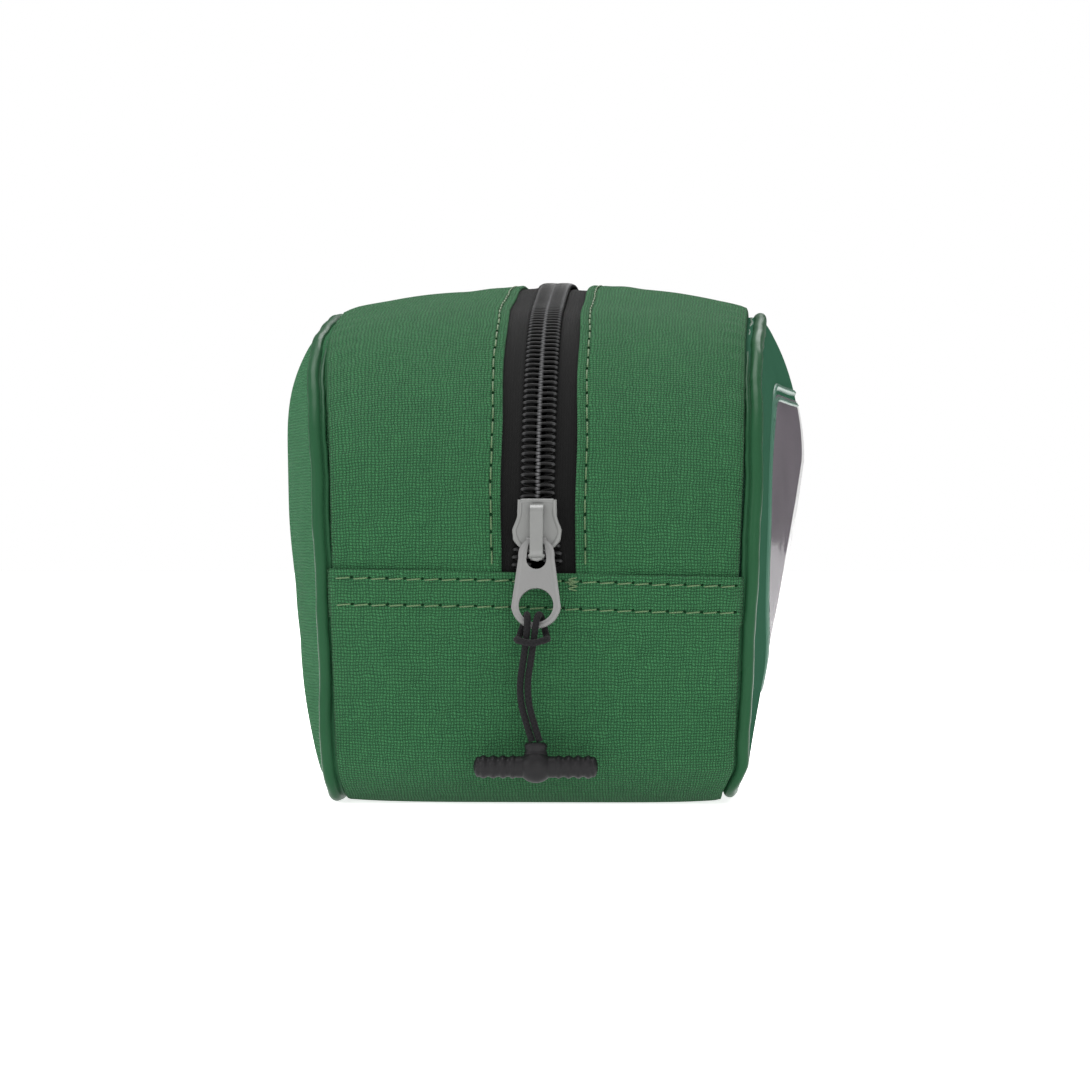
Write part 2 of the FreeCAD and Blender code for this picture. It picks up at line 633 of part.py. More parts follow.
def pull_tab():
    """A flat tab that widens from its eye to its ring, on a round bar under the bridge."""
    body = new_body("pull_tab")
    level = f"{PIVOT_LEVEL} - Sizes.tab_plate / 2"
    top, base = "Sizes.tab_top", "Sizes.tab_base"
    span = f"(Sizes.tab_length - {base} - {top})"
    slope = f"(({base} - {top}) / {span})"
    along = f"cos(asin({slope}))"
    upper_y = down_tab(f"{top} + {top} * {slope}")
    lower_y = down_tab(f"Sizes.tab_length - {base} + {base} * {slope}")
    outline = slider_sketch(body, "Outline", level)
    shoulder = "Sizes.eye_radius"
    draw(outline, [
        (f"-{shoulder}", down_tab("Sizes.bar_radius"), top, 1),
        (f"-{top} * {along}", upper_y),
        (f"-{base} * {along}", lower_y, base, 1),
        ("0", down_tab("Sizes.tab_length"), base, 1),
        (f"{base} * {along}", lower_y),
        (f"{top} * {along}", upper_y, top, 1),
        (shoulder, down_tab("Sizes.bar_radius")),
    ])
    pad(body, "Plate", outline, "Sizes.tab_plate")
    eye = slider_sketch(body, "Eye", f"{PIVOT_LEVEL}")
    eye_end = "(Sizes.eye_radius * 0.8)"
    draw(eye, [
        (f"-{eye_end}", down_tab("2 * Sizes.bar_radius")),
        ("-Sizes.eye_radius", down_tab("Sizes.eye_centre"), "Sizes.eye_radius", 1),
        ("0", down_tab("Sizes.eye_centre + Sizes.eye_radius"), "Sizes.eye_radius", 1),
        ("Sizes.eye_radius", down_tab("Sizes.eye_centre")),
        (eye_end, down_tab("2 * Sizes.bar_radius")),
    ])
    pocket(body, "EyeHole", eye, "3 * Sizes.tab_plate")
    ring = slider_sketch(body, "Ring", f"{PIVOT_LEVEL}")
    draw_circle(ring, "0", down_tab("Sizes.ring_centre"), "Sizes.ring_radius")
    pocket(body, "RingHole", ring, "3 * Sizes.tab_plate")
    bar = slider_side_sketch(body, "Bar")
    draw_circle(bar, "-Sizes.bar_offset", PIVOT_LEVEL, "Sizes.bar_radius")
    pad(body, "PivotBar", bar, "2 * Sizes.eye_radius", both_ways=True)
    return body


def tab_point(distance):
    """World Y and Z of a point on the tab's middle plane, `distance` down from its top edge."""
    up_zip = size(down_tab(distance))
    out = size(PIVOT_LEVEL)
    angle = math.radians(size("Sizes.slider_angle"))
    centre_y = size("Sizes.end_radius - Sizes.length / 2")
    return (centre_y + up_zip * math.sin(angle) - out * math.cos(angle),
            size("Sizes.seam_height") + up_zip * math.cos(angle) + out * math.sin(angle))


RING_BAR = "(Sizes.ring_centre + Sizes.ring_radius + Sizes.tab_length) / 2"
CORD_STAND_OFF = 0.6


def cord_route():
    """The cord from the toggle up one side, round the ring's bar as a lark's head, and back down.

    Each point is X, then Y and Z measured from the middle of the ring's bar.
    """
    half = size("Sizes.cord_spacing") / 2
    bar_y, bar_z = tab_point(size(RING_BAR))
    foot = size("Sizes.collar_top + 2 * Sizes.layer_gap") - bar_z
    rising = [
        (0.0 - half, -CORD_STAND_OFF, foot),
        (-1.0 - half, -0.8, foot + 3.2),
        (-2.1 - half, -1.3, foot + 7.2),
        (-2.3 - half, -1.7, foot + 11.4),
        (-1.5 - half, -2.0, -6.0),
        (-0.9 - half, -1.9, -1.6),
        (-0.8 - half, -1.5, 2.1),
        (-1.2 - half, 1.6, 2.2),
        (-2.6 - half, 1.6, -2.6),
        (-2.9 - half, -3.3, -2.9),
    ]
    falling = [
        (1.5 + half, -3.5, -2.7),
        (1.4 + half, 1.6, -2.6),
        (0.2 + half, 1.6, 2.2),
        (-0.4 + half, -1.5, 2.1),
        (-0.9 + half, -1.9, -1.6),
        (-1.5 + half, -2.0, -6.0),
        (-2.3 + half, -1.7, foot + 11.4),
        (-2.1 + half, -1.3, foot + 7.2),
        (-1.0 + half, -0.8, foot + 3.2),
        (0.0 + half, -CORD_STAND_OFF, foot),
    ]
    return [Vector(x, bar_y + y, bar_z + z) for x, y, z in rising + falling]


def rounded_path(points):
    """Straight runs joined by the largest tangent arcs that the runs allow; prints the radii."""
    edges = []
    radii = []
    here = points[0]
    for before, corner, after in zip(points, points[1:], points[2:]):
        back = (before - corner).normalize()
        ahead = (after - corner).normalize()
        turn = math.pi - back.getAngle(ahead)
        cut = 0.45 * min((before - corner).Length, (after - corner).Length)
        radii.append(cut / math.tan(turn / 2))
        enter = corner + back * cut
        leave = corner + ahead * cut
        bisector = (back + ahead).normalize()
        middle = corner + bisector * (radii[-1] / math.cos(turn / 2) - radii[-1])
        edges.append(Part.LineSegment(here, enter).toShape())
        edges.append(Part.Arc(enter, middle, leave).toShape())
        here = leave
    edges.append(Part.LineSegment(here, points[-1]).toShape())
    print("cord radii", " ".join(f"{radius:.1f}" for radius in radii))
    return Part.Wire(edges)


def pull_cord():
    """A round cord swept along its route."""
    path = rounded_path(cord_route())
    radius = size("Sizes.cord") / 2
    start = path.Edges[0]
    circle = Part.makeCircle(radius, start.valueAt(start.FirstParameter), start.tangentAt(0))
    solid = path.makePipeShell([Part.Wire(circle)], True, False, 2)
    print(f"cord length {path.Length:.1f}, volume over section times length "
          f"{solid.Volume / (math.pi * radius ** 2 * path.Length):.3f}")
    feature = doc.addObject("Part::Feature", "pull_cord")
    feature.Shape = solid
    feature.Placement = Placement()
    return feature


def toggle():
    """A ribbed bar across the end of the cord, with a collar that holds both of the cord's ends."""
    body = new_body("toggle")
    bar_y = tab_point(size(RING_BAR))[0] - CORD_STAND_OFF
    profile = new_sketch(body, "Profile", "XZ_Plane", str(-bar_y))
    profile.setExpression("AttachmentOffset.Base.y", "Sizes.toggle_height")
    half = "(Sizes.toggle_length / 2)"
    hub = "(Sizes.hub_width / 2)"
    rib = "(Sizes.toggle_radius * 0.84)"
    tip = "(Sizes.toggle_radius * 0.6)"
    outline = [("0", "0"), (half, "0"), (half, tip), (f"{half} - 0.8", "Sizes.toggle_radius")]
    for number in range(4):
        near = f"{half} - 1.8 - {number} * 1.9"
        outline += [(near, "Sizes.toggle_radius"), (f"{near} - 0.2", rib)]
        outline += [(f"{near} - 0.7", rib), (f"{near} - 0.9", "Sizes.toggle_radius")]
    outline += [(hub, "Sizes.toggle_radius"), (f"{hub} - 0.6", "Sizes.hub_radius")]
    mirrored = [(f"-({x})", y) for x, y in reversed(outline[1:])]
    draw(profile, outline[1:] + mirrored)
    turned = body.newObject("PartDesign::Revolution", "Turned")
    turned.Profile = profile
    turned.ReferenceAxis = (profile, ["H_Axis"])
    turned.Angle = 360
    collar = new_sketch(body, "CollarOutline", "XY_Plane", "Sizes.toggle_height")
    near, far = str(bar_y - size("Sizes.collar_depth / 2")), str(bar_y + size("Sizes.collar_depth / 2"))
    draw(collar, [
        ("-Sizes.collar_width / 2", near),
        ("Sizes.collar_width / 2", near),
        ("Sizes.collar_width / 2", far),
        ("-Sizes.collar_width / 2", far),
    ])
    pad(body, "Collar", collar, "Sizes.collar_top - Sizes.toggle_height")
    return body


# ---------------------------------------------------------------- sewing

def stitch(position, along, outward):
    """One stitch lying on the cloth: a small bar, `along` its row and `outward` from the cloth."""
    length, thread = size("Sizes.stitch_length"), size("Sizes.thread")
    bar = Part.makeBox(length, thread, thread / 2, Vector(-length / 2, -thread / 2, 0.02))
    across = outward.cross(along)
    bar.Placement = Placement(position, Rotation(along, across, outward, "XYZ"))
    return bar


def thread_node(label, stitches):
    feature = doc.addObject("Part::Feature", label)
    feature.Shape = Part.makeCompound(stitches)
    feature.Placement = Placement()
    return feature


def edge_drop(x):
    """How far the lower strip's surface falls back from its flat middle at x."""
    past = max(abs(x) - size(HALF_FLAT), 0)
    radius = size("Sizes.edge_radius")
    return radius - math.sqrt(radius ** 2 - past ** 2)


def seam_threads(label, end):
    """The two rows across the folded edge of the lower strip, at the front (-1) or the rear (+1)."""
    stitches = []
    pitch = size("Sizes.stitch_pitch")
    count = int(size("Sizes.strip_width - 2") / pitch)
    for row in ("first_row", "second_row"):
        height = size(f"Sizes.seam_height - Sizes.{row}")
        for number in range(count):
            x = (number - (count - 1) / 2) * pitch
            ahead = x + 0.01
            slope = (edge_drop(ahead) - edge_drop(x)) / 0.01
            along = Vector(1, -end * slope, 0).normalize()
            outward = Vector(end * slope, 1, 0).normalize() * end
            depth = size("Sizes.length / 2") - edge_drop(x)
            stitches.append(stitch(Vector(x, end * depth, height), along, outward))
    return thread_node(label, stitches)


def zip_threads(label, side):
    """The row beside the zip, from the front seam over the top to the rear seam."""
    path = []
    pitch = size("Sizes.stitch_pitch")
    level = size(UPPER_LEVEL)
    end_centre = Vector(0, size("Sizes.length / 2 - Sizes.end_radius"), size("Sizes.seam_height"))
    sweep = math.radians(size("Sizes.end_angle"))
    radius = size("Sizes.end_radius") - level
    steps = int(radius * sweep / pitch)
    for number in range(1, steps + 1):
        angle = number * sweep / steps
        outward = Vector(0, math.cos(angle), math.sin(angle))
        along = Vector(0, -math.sin(angle), math.cos(angle))
        path.append((end_centre + outward * radius, along, outward))
    top_radius = size(TOP_RADIUS)
    top_centre = Vector(0, 0, end_centre.z + size("Sizes.end_radius - " + TOP_RADIUS) * math.sin(sweep))
    half = int(top_radius * (math.pi / 2 - sweep) / pitch)
    for number in range(0, half):
        angle = math.pi / 2 - number * pitch / top_radius
        outward = Vector(0, math.cos(angle), math.sin(angle))
        along = Vector(0, -math.sin(angle), math.cos(angle))
        path.append((top_centre + outward * (top_radius - level), along, outward))
    stitches = []
    x = side * size("Sizes.zip_row")
    for position, along, outward in path:
        for end in ((1,) if position.y < 0.1 else (1, -1)):
            place = Vector(x, end * position.y, position.z)
            run = Vector(0, end * along.y, along.z)
            normal = Vector(0, end * outward.y, outward.z)
            stitches.append(stitch(place, run, normal))
    return thread_node(label, stitches)


# ---------------------------------------------------------------- the whole bag

SIDES = (("left", -1), ("right", 1))


def build():
    parts = [lower_gusset(), slider_body(), slider_cap(), lock_spring(), pull_tab(), pull_cord(), toggle()]
    for word, side in SIDES:
        parts.append(upper_gusset(f"upper_gusset_{word}", side))
        parts.append(side_panel(f"side_panel_{word}", side))
        parts.append(piping(f"piping_{word}", side))
        parts.append(piping_core(f"piping_core_{word}", side))
        parts.append(seam_binding(f"seam_binding_{word}", side))
        parts.append(zip_tape(f"zip_tape_{word}", side))
        parts.append(zip_coil(f"zip_coil_{word}", side))
        parts.append(zip_threads(f"thread_zip_{word}", side))
    parts += window()
    parts += [seam_threads("thread_front_seam", -1), seam_threads("thread_rear_seam", 1)]
    return parts


def check_and_write(parts):
    doc.recompute()
    faults = [item.Name for item in doc.Objects if {"Invalid", "Error"} & set(item.State)]
    faults += [part.Label for part in parts if part.Shape.isNull() or not part.Shape.isValid()]
    if faults:
        raise SystemExit(f"these objects failed: {', '.join(faults)}")
    os.makedirs("parts", exist_ok=True)
    for part in parts:
        part.Shape.exportStep(f"parts/{part.Label}.step")
        box = part.Shape.BoundBox
        print(f"{part.Label:20s} solids {len(part.Shape.Solids):3d}  volume {part.Shape.Volume:10.2f}  "
              f"x {box.XMin:7.2f} {box.XMax:7.2f}  y {box.YMin:8.2f} {box.YMax:7.2f}  "
              f"z {box.ZMin:6.2f} {box.ZMax:7.2f}")


check_and_write(build())
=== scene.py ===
"""Looks of the zipped wash bag: cloth, vinyl, zip, slider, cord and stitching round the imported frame.

Lengths in this file are millimetres until a mesh is made; MM turns them into metres.
"""

import json
import math
from functools import partial

import bpy
import numpy as np
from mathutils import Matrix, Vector


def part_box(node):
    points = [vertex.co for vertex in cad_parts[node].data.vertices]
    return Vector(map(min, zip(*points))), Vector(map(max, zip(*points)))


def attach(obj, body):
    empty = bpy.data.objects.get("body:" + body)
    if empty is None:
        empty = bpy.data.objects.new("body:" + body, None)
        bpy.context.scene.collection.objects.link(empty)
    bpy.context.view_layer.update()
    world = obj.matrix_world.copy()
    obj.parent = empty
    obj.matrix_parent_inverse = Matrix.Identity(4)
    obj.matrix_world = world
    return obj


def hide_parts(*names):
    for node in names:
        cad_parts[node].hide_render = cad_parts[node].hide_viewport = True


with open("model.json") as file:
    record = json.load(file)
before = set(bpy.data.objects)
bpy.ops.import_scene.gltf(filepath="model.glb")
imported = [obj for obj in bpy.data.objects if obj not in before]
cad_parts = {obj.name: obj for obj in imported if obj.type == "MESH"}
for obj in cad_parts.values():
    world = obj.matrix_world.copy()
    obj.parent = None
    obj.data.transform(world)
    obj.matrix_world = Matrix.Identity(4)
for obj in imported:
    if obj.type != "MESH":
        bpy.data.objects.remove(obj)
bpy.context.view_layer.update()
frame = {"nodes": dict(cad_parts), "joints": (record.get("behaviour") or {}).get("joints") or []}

MM = 0.001
PI = math.pi

# ---- sizes read from the frame

LOWER_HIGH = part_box("lower_gusset")[1]
HALF_STRIP = LOWER_HIGH.x / MM
HALF_LENGTH = LOWER_HIGH.y / MM
SEAM_HEIGHT = LOWER_HIGH.z / MM
FOLD_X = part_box("upper_gusset_right")[0].x / MM
JOINTS = {joint["name"]: joint for joint in frame["joints"]}
RING_BAR = Vector(JOINTS["cord_swing"]["pos_m"]) / MM
ARC_CENTRE = Vector(JOINTS["slider_travel"]["pos_m"]) / MM

END_RADIUS = HALF_LENGTH + ARC_CENTRE.y
END_ANGLE = math.radians(79)
BASE_RADIUS = 16
SLIDER_ANGLE = math.radians(9.5)

CROWN = 3.4
TOP_RISE, ZIP_RISE = 0.85, 0.55
SHOULDER_DROP = 1.2
CLOTH_THICKNESS, UPPER_THICKNESS, TAPE_THICKNESS = 0.45, 0.42, 0.4
PIPING_LEVEL = -5.2
PANEL_INSET = 6.4
UPPER_LEVEL = -0.7
TAPE_LEVEL = -1.4
CHAIN_PITCH = 1.5
STITCH_PITCH = 3.4
SLIDER_TOP = 56.1
PIVOT_LEVEL = 56.8

LEFT, RIGHT = -1, 1
SIDES = (("left", LEFT), ("right", RIGHT))


# ---- camera, light and floor

CAMERA_DISTANCE = 900
CAMERA_OFFSET = 44
CAMERA_AIM = 1.55
CAMERA_HEIGHT = 52
PIXELS_PER_MM = 5.18
IMAGE_WIDTH = 1090
SENSOR_WIDTH = 36

# Each lamp's name, place in metres, width in metres and power in watts.
LAMPS = [
    ("top_lamp", (-0.1, 0.25, 1.3), 1.1, 19),
    ("left_lamp", (-1.2, -0.6, 0.6), 0.8, 4),
    ("front_lamp", (0.4, -1.4, 0.5), 0.7, 3),
    ("rear_lamp", (0.3, 1.4, 1.0), 0.8, 5),
]
LAMP_TARGET = Vector((0, 0, 0.05))
ROOM_LEVEL = 0.75
ROOM_SLOPE = -0.6
FLOOR_REACH = 6
FLOOR_GREY = 0.9
FLOOR_GLOW = 0.8


def placed(name, data):
    """A new object in the scene."""
    thing = bpy.data.objects.new(name, data)
    bpy.context.scene.collection.objects.link(thing)
    return thing


def aim(thing, position, target):
    """Stand a camera or a lamp at its place, turned to its target."""
    thing.location = position
    thing.rotation_euler = (target - position).to_track_quat("-Z", "Y").to_euler()


def make_camera():
    """A long lens a little to the right of the bag's middle plane, level with half its height."""
    camera = bpy.data.cameras.new("camera")
    camera.sensor_width = SENSOR_WIDTH
    camera.lens = PIXELS_PER_MM * CAMERA_DISTANCE / IMAGE_WIDTH * SENSOR_WIDTH
    camera.clip_start, camera.clip_end = 0.05, 20
    thing = placed("camera", camera)
    position = Vector((CAMERA_OFFSET, -HALF_LENGTH - CAMERA_DISTANCE, CAMERA_HEIGHT)) * MM
    aim(thing, position, Vector((CAMERA_AIM, -HALF_LENGTH, CAMERA_HEIGHT)) * MM)
    bpy.context.scene.camera = thing


def make_lamps():
    for name, position, width, power in LAMPS:
        light = bpy.data.lights.new(name, "AREA")
        light.shape = "DISK"
        light.size = width
        light.energy = power
        aim(placed(name, light), Vector(position), LAMP_TARGET)


def make_room():
    """A room that looks white, and lights the bag less from behind than from the front."""
    world = bpy.data.worlds.new("studio")
    world.use_nodes = True
    tree = world.node_tree
    background = tree.nodes["Background"]
    background.inputs["Color"].default_value = (1, 1, 1, 1)
    direction = tree.nodes.new("ShaderNodeTexCoord")
    parts = tree.nodes.new("ShaderNodeSeparateXYZ")
    fall = tree.nodes.new("ShaderNodeMath")
    fall.operation = "MULTIPLY_ADD"
    fall.inputs[1].default_value = ROOM_SLOPE
    fall.inputs[2].default_value = ROOM_LEVEL
    seen = tree.nodes.new("ShaderNodeLightPath")
    choice = tree.nodes.new("ShaderNodeMix")
    choice.inputs[3].default_value = 1.0
    tree.links.new(direction.outputs["Generated"], parts.inputs[0])
    tree.links.new(parts.outputs["Y"], fall.inputs[0])
    tree.links.new(seen.outputs["Is Camera Ray"], choice.inputs[0])
    tree.links.new(fall.outputs[0], choice.inputs[2])
    tree.links.new(choice.outputs[0], background.inputs["Strength"])
    bpy.context.scene.world = world
    bpy.context.scene.view_settings.view_transform = "Standard"


def make_floor():
    """A pale paper floor that glows a little, so that it looks as white as the room."""
    reach = FLOOR_REACH
    mesh = bpy.data.meshes.new("paper_floor")
    corners = [(-reach, -reach, 0), (reach, -reach, 0), (reach, reach, 0), (-reach, reach, 0)]
    mesh.from_pydata(corners, [], [(0, 1, 2, 3)])
    floor = placed("paper_floor", mesh)
    paper = bpy.data.materials.new("paper_floor")
    paper.use_nodes = True
    surface = paper.node_tree.nodes["Principled BSDF"].inputs
    surface["Base Color"].default_value = (FLOOR_GREY, FLOOR_GREY, FLOOR_GREY, 1)
    surface["Roughness"].default_value = 0.9
    surface["Specular IOR Level"].default_value = 0.0
    surface["Emission Color"].default_value = (1, 1, 1, 1)
    surface["Emission Strength"].default_value = FLOOR_GLOW
    mesh.materials.append(paper)


# ---- material graphs

class Graph:
    """A material's node tree, with short names for the maths that the patterns need."""

    def __init__(self, name):
        self.material = bpy.data.materials.new(name)
        self.material.use_nodes = True
        self.tree = self.material.node_tree
        self.surface = self.tree.nodes["Principled BSDF"]

    def node(self, kind, **settings):
        node = self.tree.nodes.new(kind)
        for key, value in settings.items():
            setattr(node, key, value)
        return node

    def join(self, value, socket):
        """Feed a socket from another socket, or with a number or a colour's three parts."""
        if isinstance(value, bpy.types.NodeSocket):
            self.tree.links.new(value, socket)
        else:
            socket.default_value = (*value, 1) if isinstance(value, tuple) else value

    def maths(self, operation, first, second=0.0, clamp=False):
        node = self.node("ShaderNodeMath", operation=operation, use_clamp=clamp)
        self.join(first, node.inputs[0])
        self.join(second, node.inputs[1])
        return node.outputs[0]

    def add(self, first, second):
        return self.maths("ADD", first, second)

    def times(self, first, second):
        return self.maths("MULTIPLY", first, second)

    def about(self, pattern, spread, middle=1.0):
        """A pattern of 0 to 1 scaled to a spread about its middle."""
        return self.add(self.times(pattern, spread), middle - spread / 2)

    def sine(self, value):
        return self.maths("SINE", self.times(value, PI))

    def wave(self, value):
        """|sin(pi * value)|: one thread's rounded back for each whole step of value."""
        return self.maths("ABSOLUTE", self.sine(value))

    def mix(self, kind, low_socket, share, low, high, **settings):
        """A mix node; its high value goes in one socket after its low one."""
        node = self.node("ShaderNodeMix", data_type=kind, **settings)
        self.join(share, node.inputs[0])
        self.join(low, node.inputs[low_socket])
        self.join(high, node.inputs[low_socket + 1])
        return node

    def blend(self, share, low, high):
        """A number that goes from low to high as share goes from 0 to 1."""
        return self.mix("FLOAT", 2, share, low, high).outputs[0]

    def colour(self, share, low, high):
        return self.mix("RGBA", 6, share, low, high).outputs[2]

    def shaded(self, colour, factor):
        """The colour times a grey factor."""
        return self.mix("RGBA", 6, 1, colour, factor, blend_type="MULTIPLY").outputs[2]

    def noise(self, coordinates, scale, detail=2.0, roughness=0.5):
        node = self.node("ShaderNodeTexNoise")
        self.join(coordinates, node.inputs["Vector"])
        node.inputs["Scale"].default_value = scale
        node.inputs["Detail"].default_value = detail
        node.inputs["Roughness"].default_value = roughness
        return node.outputs["Fac"]

    def cloth_coordinates(self):
        """The two directions of the cloth, in millimetres, from the mesh's own layout."""
        layout = self.node("ShaderNodeUVMap", uv_map="cloth").outputs["UV"]
        parts = self.node("ShaderNodeSeparateXYZ")
        self.join(layout, parts.inputs[0])
        return layout, parts.outputs[0], parts.outputs[1]

    def object_coordinates(self):
        return self.node("ShaderNodeTexCoord").outputs["Object"]

    def stretched(self, coordinates, across, along):
        """Coordinates with their first two directions each scaled by its own factor."""
        node = self.node("ShaderNodeVectorMath", operation="MULTIPLY")
        self.join(coordinates, node.inputs[0])
        node.inputs[1].default_value = (across, along, 1)
        return node.outputs[0]

    def bump(self, height, distance, strength=1.0):
        node = self.node("ShaderNodeBump")
        node.inputs["Distance"].default_value = distance
        node.inputs["Strength"].default_value = strength
        self.join(height, node.inputs["Height"])
        self.join(node.outputs["Normal"], self.surface.inputs["Normal"])

    def finish(self, colour, roughness, **sockets):
        self.join(colour, self.surface.inputs["Base Color"])
        self.join(roughness, self.surface.inputs["Roughness"])
        for name, value in sockets.items():
            self.surface.inputs[name.replace("_", " ")].default_value = value
        return self.material


CLOTH_PITCH = 0.6
CLOTH_BUMP = 0.0003
WARM_THREAD = (1.14, 1.04, 0.94)
COOL_THREAD = (0.9, 0.97, 1.06)


def tinted(colour, factors):
    return tuple(part * factor for part, factor in zip(colour, factors))


def woven(name, colour, contrast, sheen=0.04, specular=0.1):
    """Plain-woven cloth: warp and weft in turn on top, with slubs and slow changes of shade."""
    graph = Graph(name)
    layout, across, along = graph.cloth_coordinates()
    drift = graph.noise(layout, 0.35, 3)
    slub_across = graph.noise(graph.stretched(layout, 0.16, 1.7), 1.0, 3, 0.7)
    slub_along = graph.noise(graph.stretched(layout, 1.7, 0.16), 1.0, 3, 0.7)
    warp = graph.add(graph.times(across, 1 / CLOTH_PITCH), graph.times(drift, 1.8))
    weft = graph.add(graph.times(along, 1 / CLOTH_PITCH), graph.times(drift, -1.5))
    warp_back, weft_back = graph.wave(warp), graph.wave(weft)
    turn = graph.times(graph.sine(warp), graph.sine(weft))
    on_top = graph.maths("ADD", graph.times(turn, 2.2), 0.5, clamp=True)
    warp_height = graph.times(warp_back, graph.about(weft_back, 0.4, 0.8))
    weft_height = graph.times(weft_back, graph.about(warp_back, 0.4, 0.8))
    height = graph.blend(on_top, weft_height, warp_height)
    slubs = graph.blend(on_top, slub_across, slub_along)
    shade = graph.add(graph.times(height, contrast), 1 - 0.62 * contrast)
    shade = graph.times(shade, graph.about(slubs, 0.9))
    shade = graph.times(shade, graph.about(graph.noise(layout, 0.06, 3), 0.16))
    graph.bump(graph.add(height, graph.times(slubs, 0.5)), CLOTH_BUMP)
    threads = graph.colour(slubs, tinted(colour, COOL_THREAD), tinted(colour, WARM_THREAD))
    return graph.finish(graph.shaded(threads, shade), 0.9,
                        Sheen_Weight=sheen, Sheen_Roughness=0.4, Specular_IOR_Level=specular)


def vinyl(name, colour, roughness, specular):
    """Smooth supple vinyl with a fine leather-like grain and faint blotches."""
    graph = Graph(name)
    place = graph.object_coordinates()
    blotch = graph.noise(place, 60, 3)
    grain = graph.noise(place, 2600, 2)
    graph.bump(graph.add(grain, graph.times(blotch, 1.5)), 0.00003)
    return graph.finish(graph.shaded(colour, graph.about(blotch, 0.12)), graph.about(blotch, 0.16, roughness),
                        Specular_IOR_Level=specular)


def moulded(name, colour):
    """Moulded plastic with a fine satin texture and slight wear."""
    graph = Graph(name)
    place = graph.object_coordinates()
    wear_and_highlight = graph.noise(place, 420, 4, 0.6)
    graph.bump(graph.noise(place, 5200, 2), 0.00002)
    return graph.finish(graph.shaded(colour, graph.about(wear_and_highlight, 0.2)), graph.about(wear_and_highlight, 0.2, 0.45),
                        Specular_IOR_Level=0.2)


def painted(name, colour):
    """Light grey painted zinc: a satin coat with orange peel, and painted shade that darkens its recesses."""
    graph = Graph(name)
    place = graph.object_coordinates()
    peel = graph.noise(place, 2200, 2)
    patch = graph.noise(place, 240, 4, 0.6)
    # Painted shade: ambient occlusion darkens the colour in recesses and corners.
    corner = graph.node("ShaderNodeAmbientOcclusion", samples=4)
    corner.inputs["Distance"].default_value = 0.0012
    recess_shade = graph.maths("POWER", corner.outputs["AO"], 0.9)
    shade = graph.times(graph.about(patch, 0.14), graph.about(recess_shade, 0.5, 0.75))
    graph.bump(graph.add(peel, graph.times(patch, 2)), 0.000012)
    return graph.finish(graph.shaded(colour, shade), graph.about(patch, 0.16, 0.4),
                        Coat_Weight=0.25, Coat_Roughness=0.2)


def thread_finish(name, colour):
    """Twisted thread: slanting plies along its length."""
    graph = Graph(name)
    layout, around, along = graph.cloth_coordinates()
    ply = graph.wave(graph.add(graph.times(along, 2), graph.times(around, 2)))
    tint = graph.noise(layout, 0.5, 2)
    shade = graph.times(graph.about(ply, 0.45, 0.845), graph.about(tint, 0.5))
    graph.bump(ply, 0.00006)
    return graph.finish(graph.shaded(colour, shade), 0.55, Sheen_Weight=0.2)


def tape_weave(name, colour):
    """The zip tape's close herringbone, ribbed along its length."""
    graph = Graph(name)
    layout, across, along = graph.cloth_coordinates()
    zigzag = graph.maths("PINGPONG", across, 1.1)
    twill = graph.wave(graph.add(graph.times(along, 2.6), graph.times(zigzag, 2.2)))
    rib = graph.wave(graph.times(across, 1.9))
    height = graph.add(graph.times(twill, 0.6), graph.times(rib, 0.5))
    dust = graph.noise(layout, 0.9, 4)
    shade = graph.times(graph.about(height, 0.5, 0.95), graph.about(dust, 0.4))
    graph.bump(height, 0.00007)
    return graph.finish(graph.shaded(colour, shade), 0.85, Sheen_Weight=0.03, Specular_IOR_Level=0.08)


def coil_nylon(name):
    """Black nylon filament, with a painted highlight: paler on the turns' tops where the two halves hook
    together and at their outer bends.
    """
    graph = Graph(name)
    wear_and_highlight = graph.node("ShaderNodeAttribute", attribute_name="wear_and_highlight").outputs["Fac"]
    place = graph.object_coordinates()
    patch = graph.noise(place, 500, 3)
    # The pale colour that this mask brings in is a painted highlight.
    tone = graph.maths("MULTIPLY", wear_and_highlight, graph.about(patch, 0.7), clamp=True)
    colour = graph.colour(tone, (0.005, 0.005, 0.005), (0.3, 0.3, 0.31))
    graph.bump(patch, 0.00002)
    return graph.finish(colour, 0.33, Specular_IOR_Level=0.1)


def braided(name, colour):
    """A round braid: two families of strands crossing round the cord."""
    graph = Graph(name)
    layout, around, along = graph.cloth_coordinates()
    one = graph.wave(graph.add(graph.times(along, 1.1), graph.times(around, 4)))
    other = graph.wave(graph.add(graph.times(along, 1.1), graph.times(around, -4)))
    height = graph.maths("MAXIMUM", one, other)
    fuzz = graph.noise(layout, 3.0, 3)
    shade = graph.times(graph.about(height, 0.7, 0.85), graph.about(fuzz, 0.6))
    graph.bump(graph.add(height, graph.times(fuzz, 0.4)), 0.0001)
    return graph.finish(graph.shaded(colour, shade), 0.75, Sheen_Weight=0.04, Specular_IOR_Level=0.15)


def clear_vinyl(name):
    """Clear flexible sheet with slight ripples."""
    graph = Graph(name)
    ripple = graph.noise(graph.object_coordinates(), 45, 3)
    graph.bump(ripple, 0.0006, 0.5)
    return graph.finish((0.93, 0.95, 0.94), 0.08, Transmission_Weight=1.0, IOR=1.05, Alpha=0.2)


def printed_card(name):
    """A plain grey insert with slow tonal drift behind the clear sheet."""
    graph = Graph(name)
    place = graph.object_coordinates()
    tone = graph.noise(place, 28, 3)
    fibre = graph.noise(place, 900, 3)
    colour = graph.colour(tone, (0.03, 0.024, 0.03), (0.12, 0.1, 0.12))
    graph.bump(fibre, 0.00002)
    return graph.finish(graph.shaded(colour, graph.about(fibre, 0.16)), 0.7, Specular_IOR_Level=0.03)


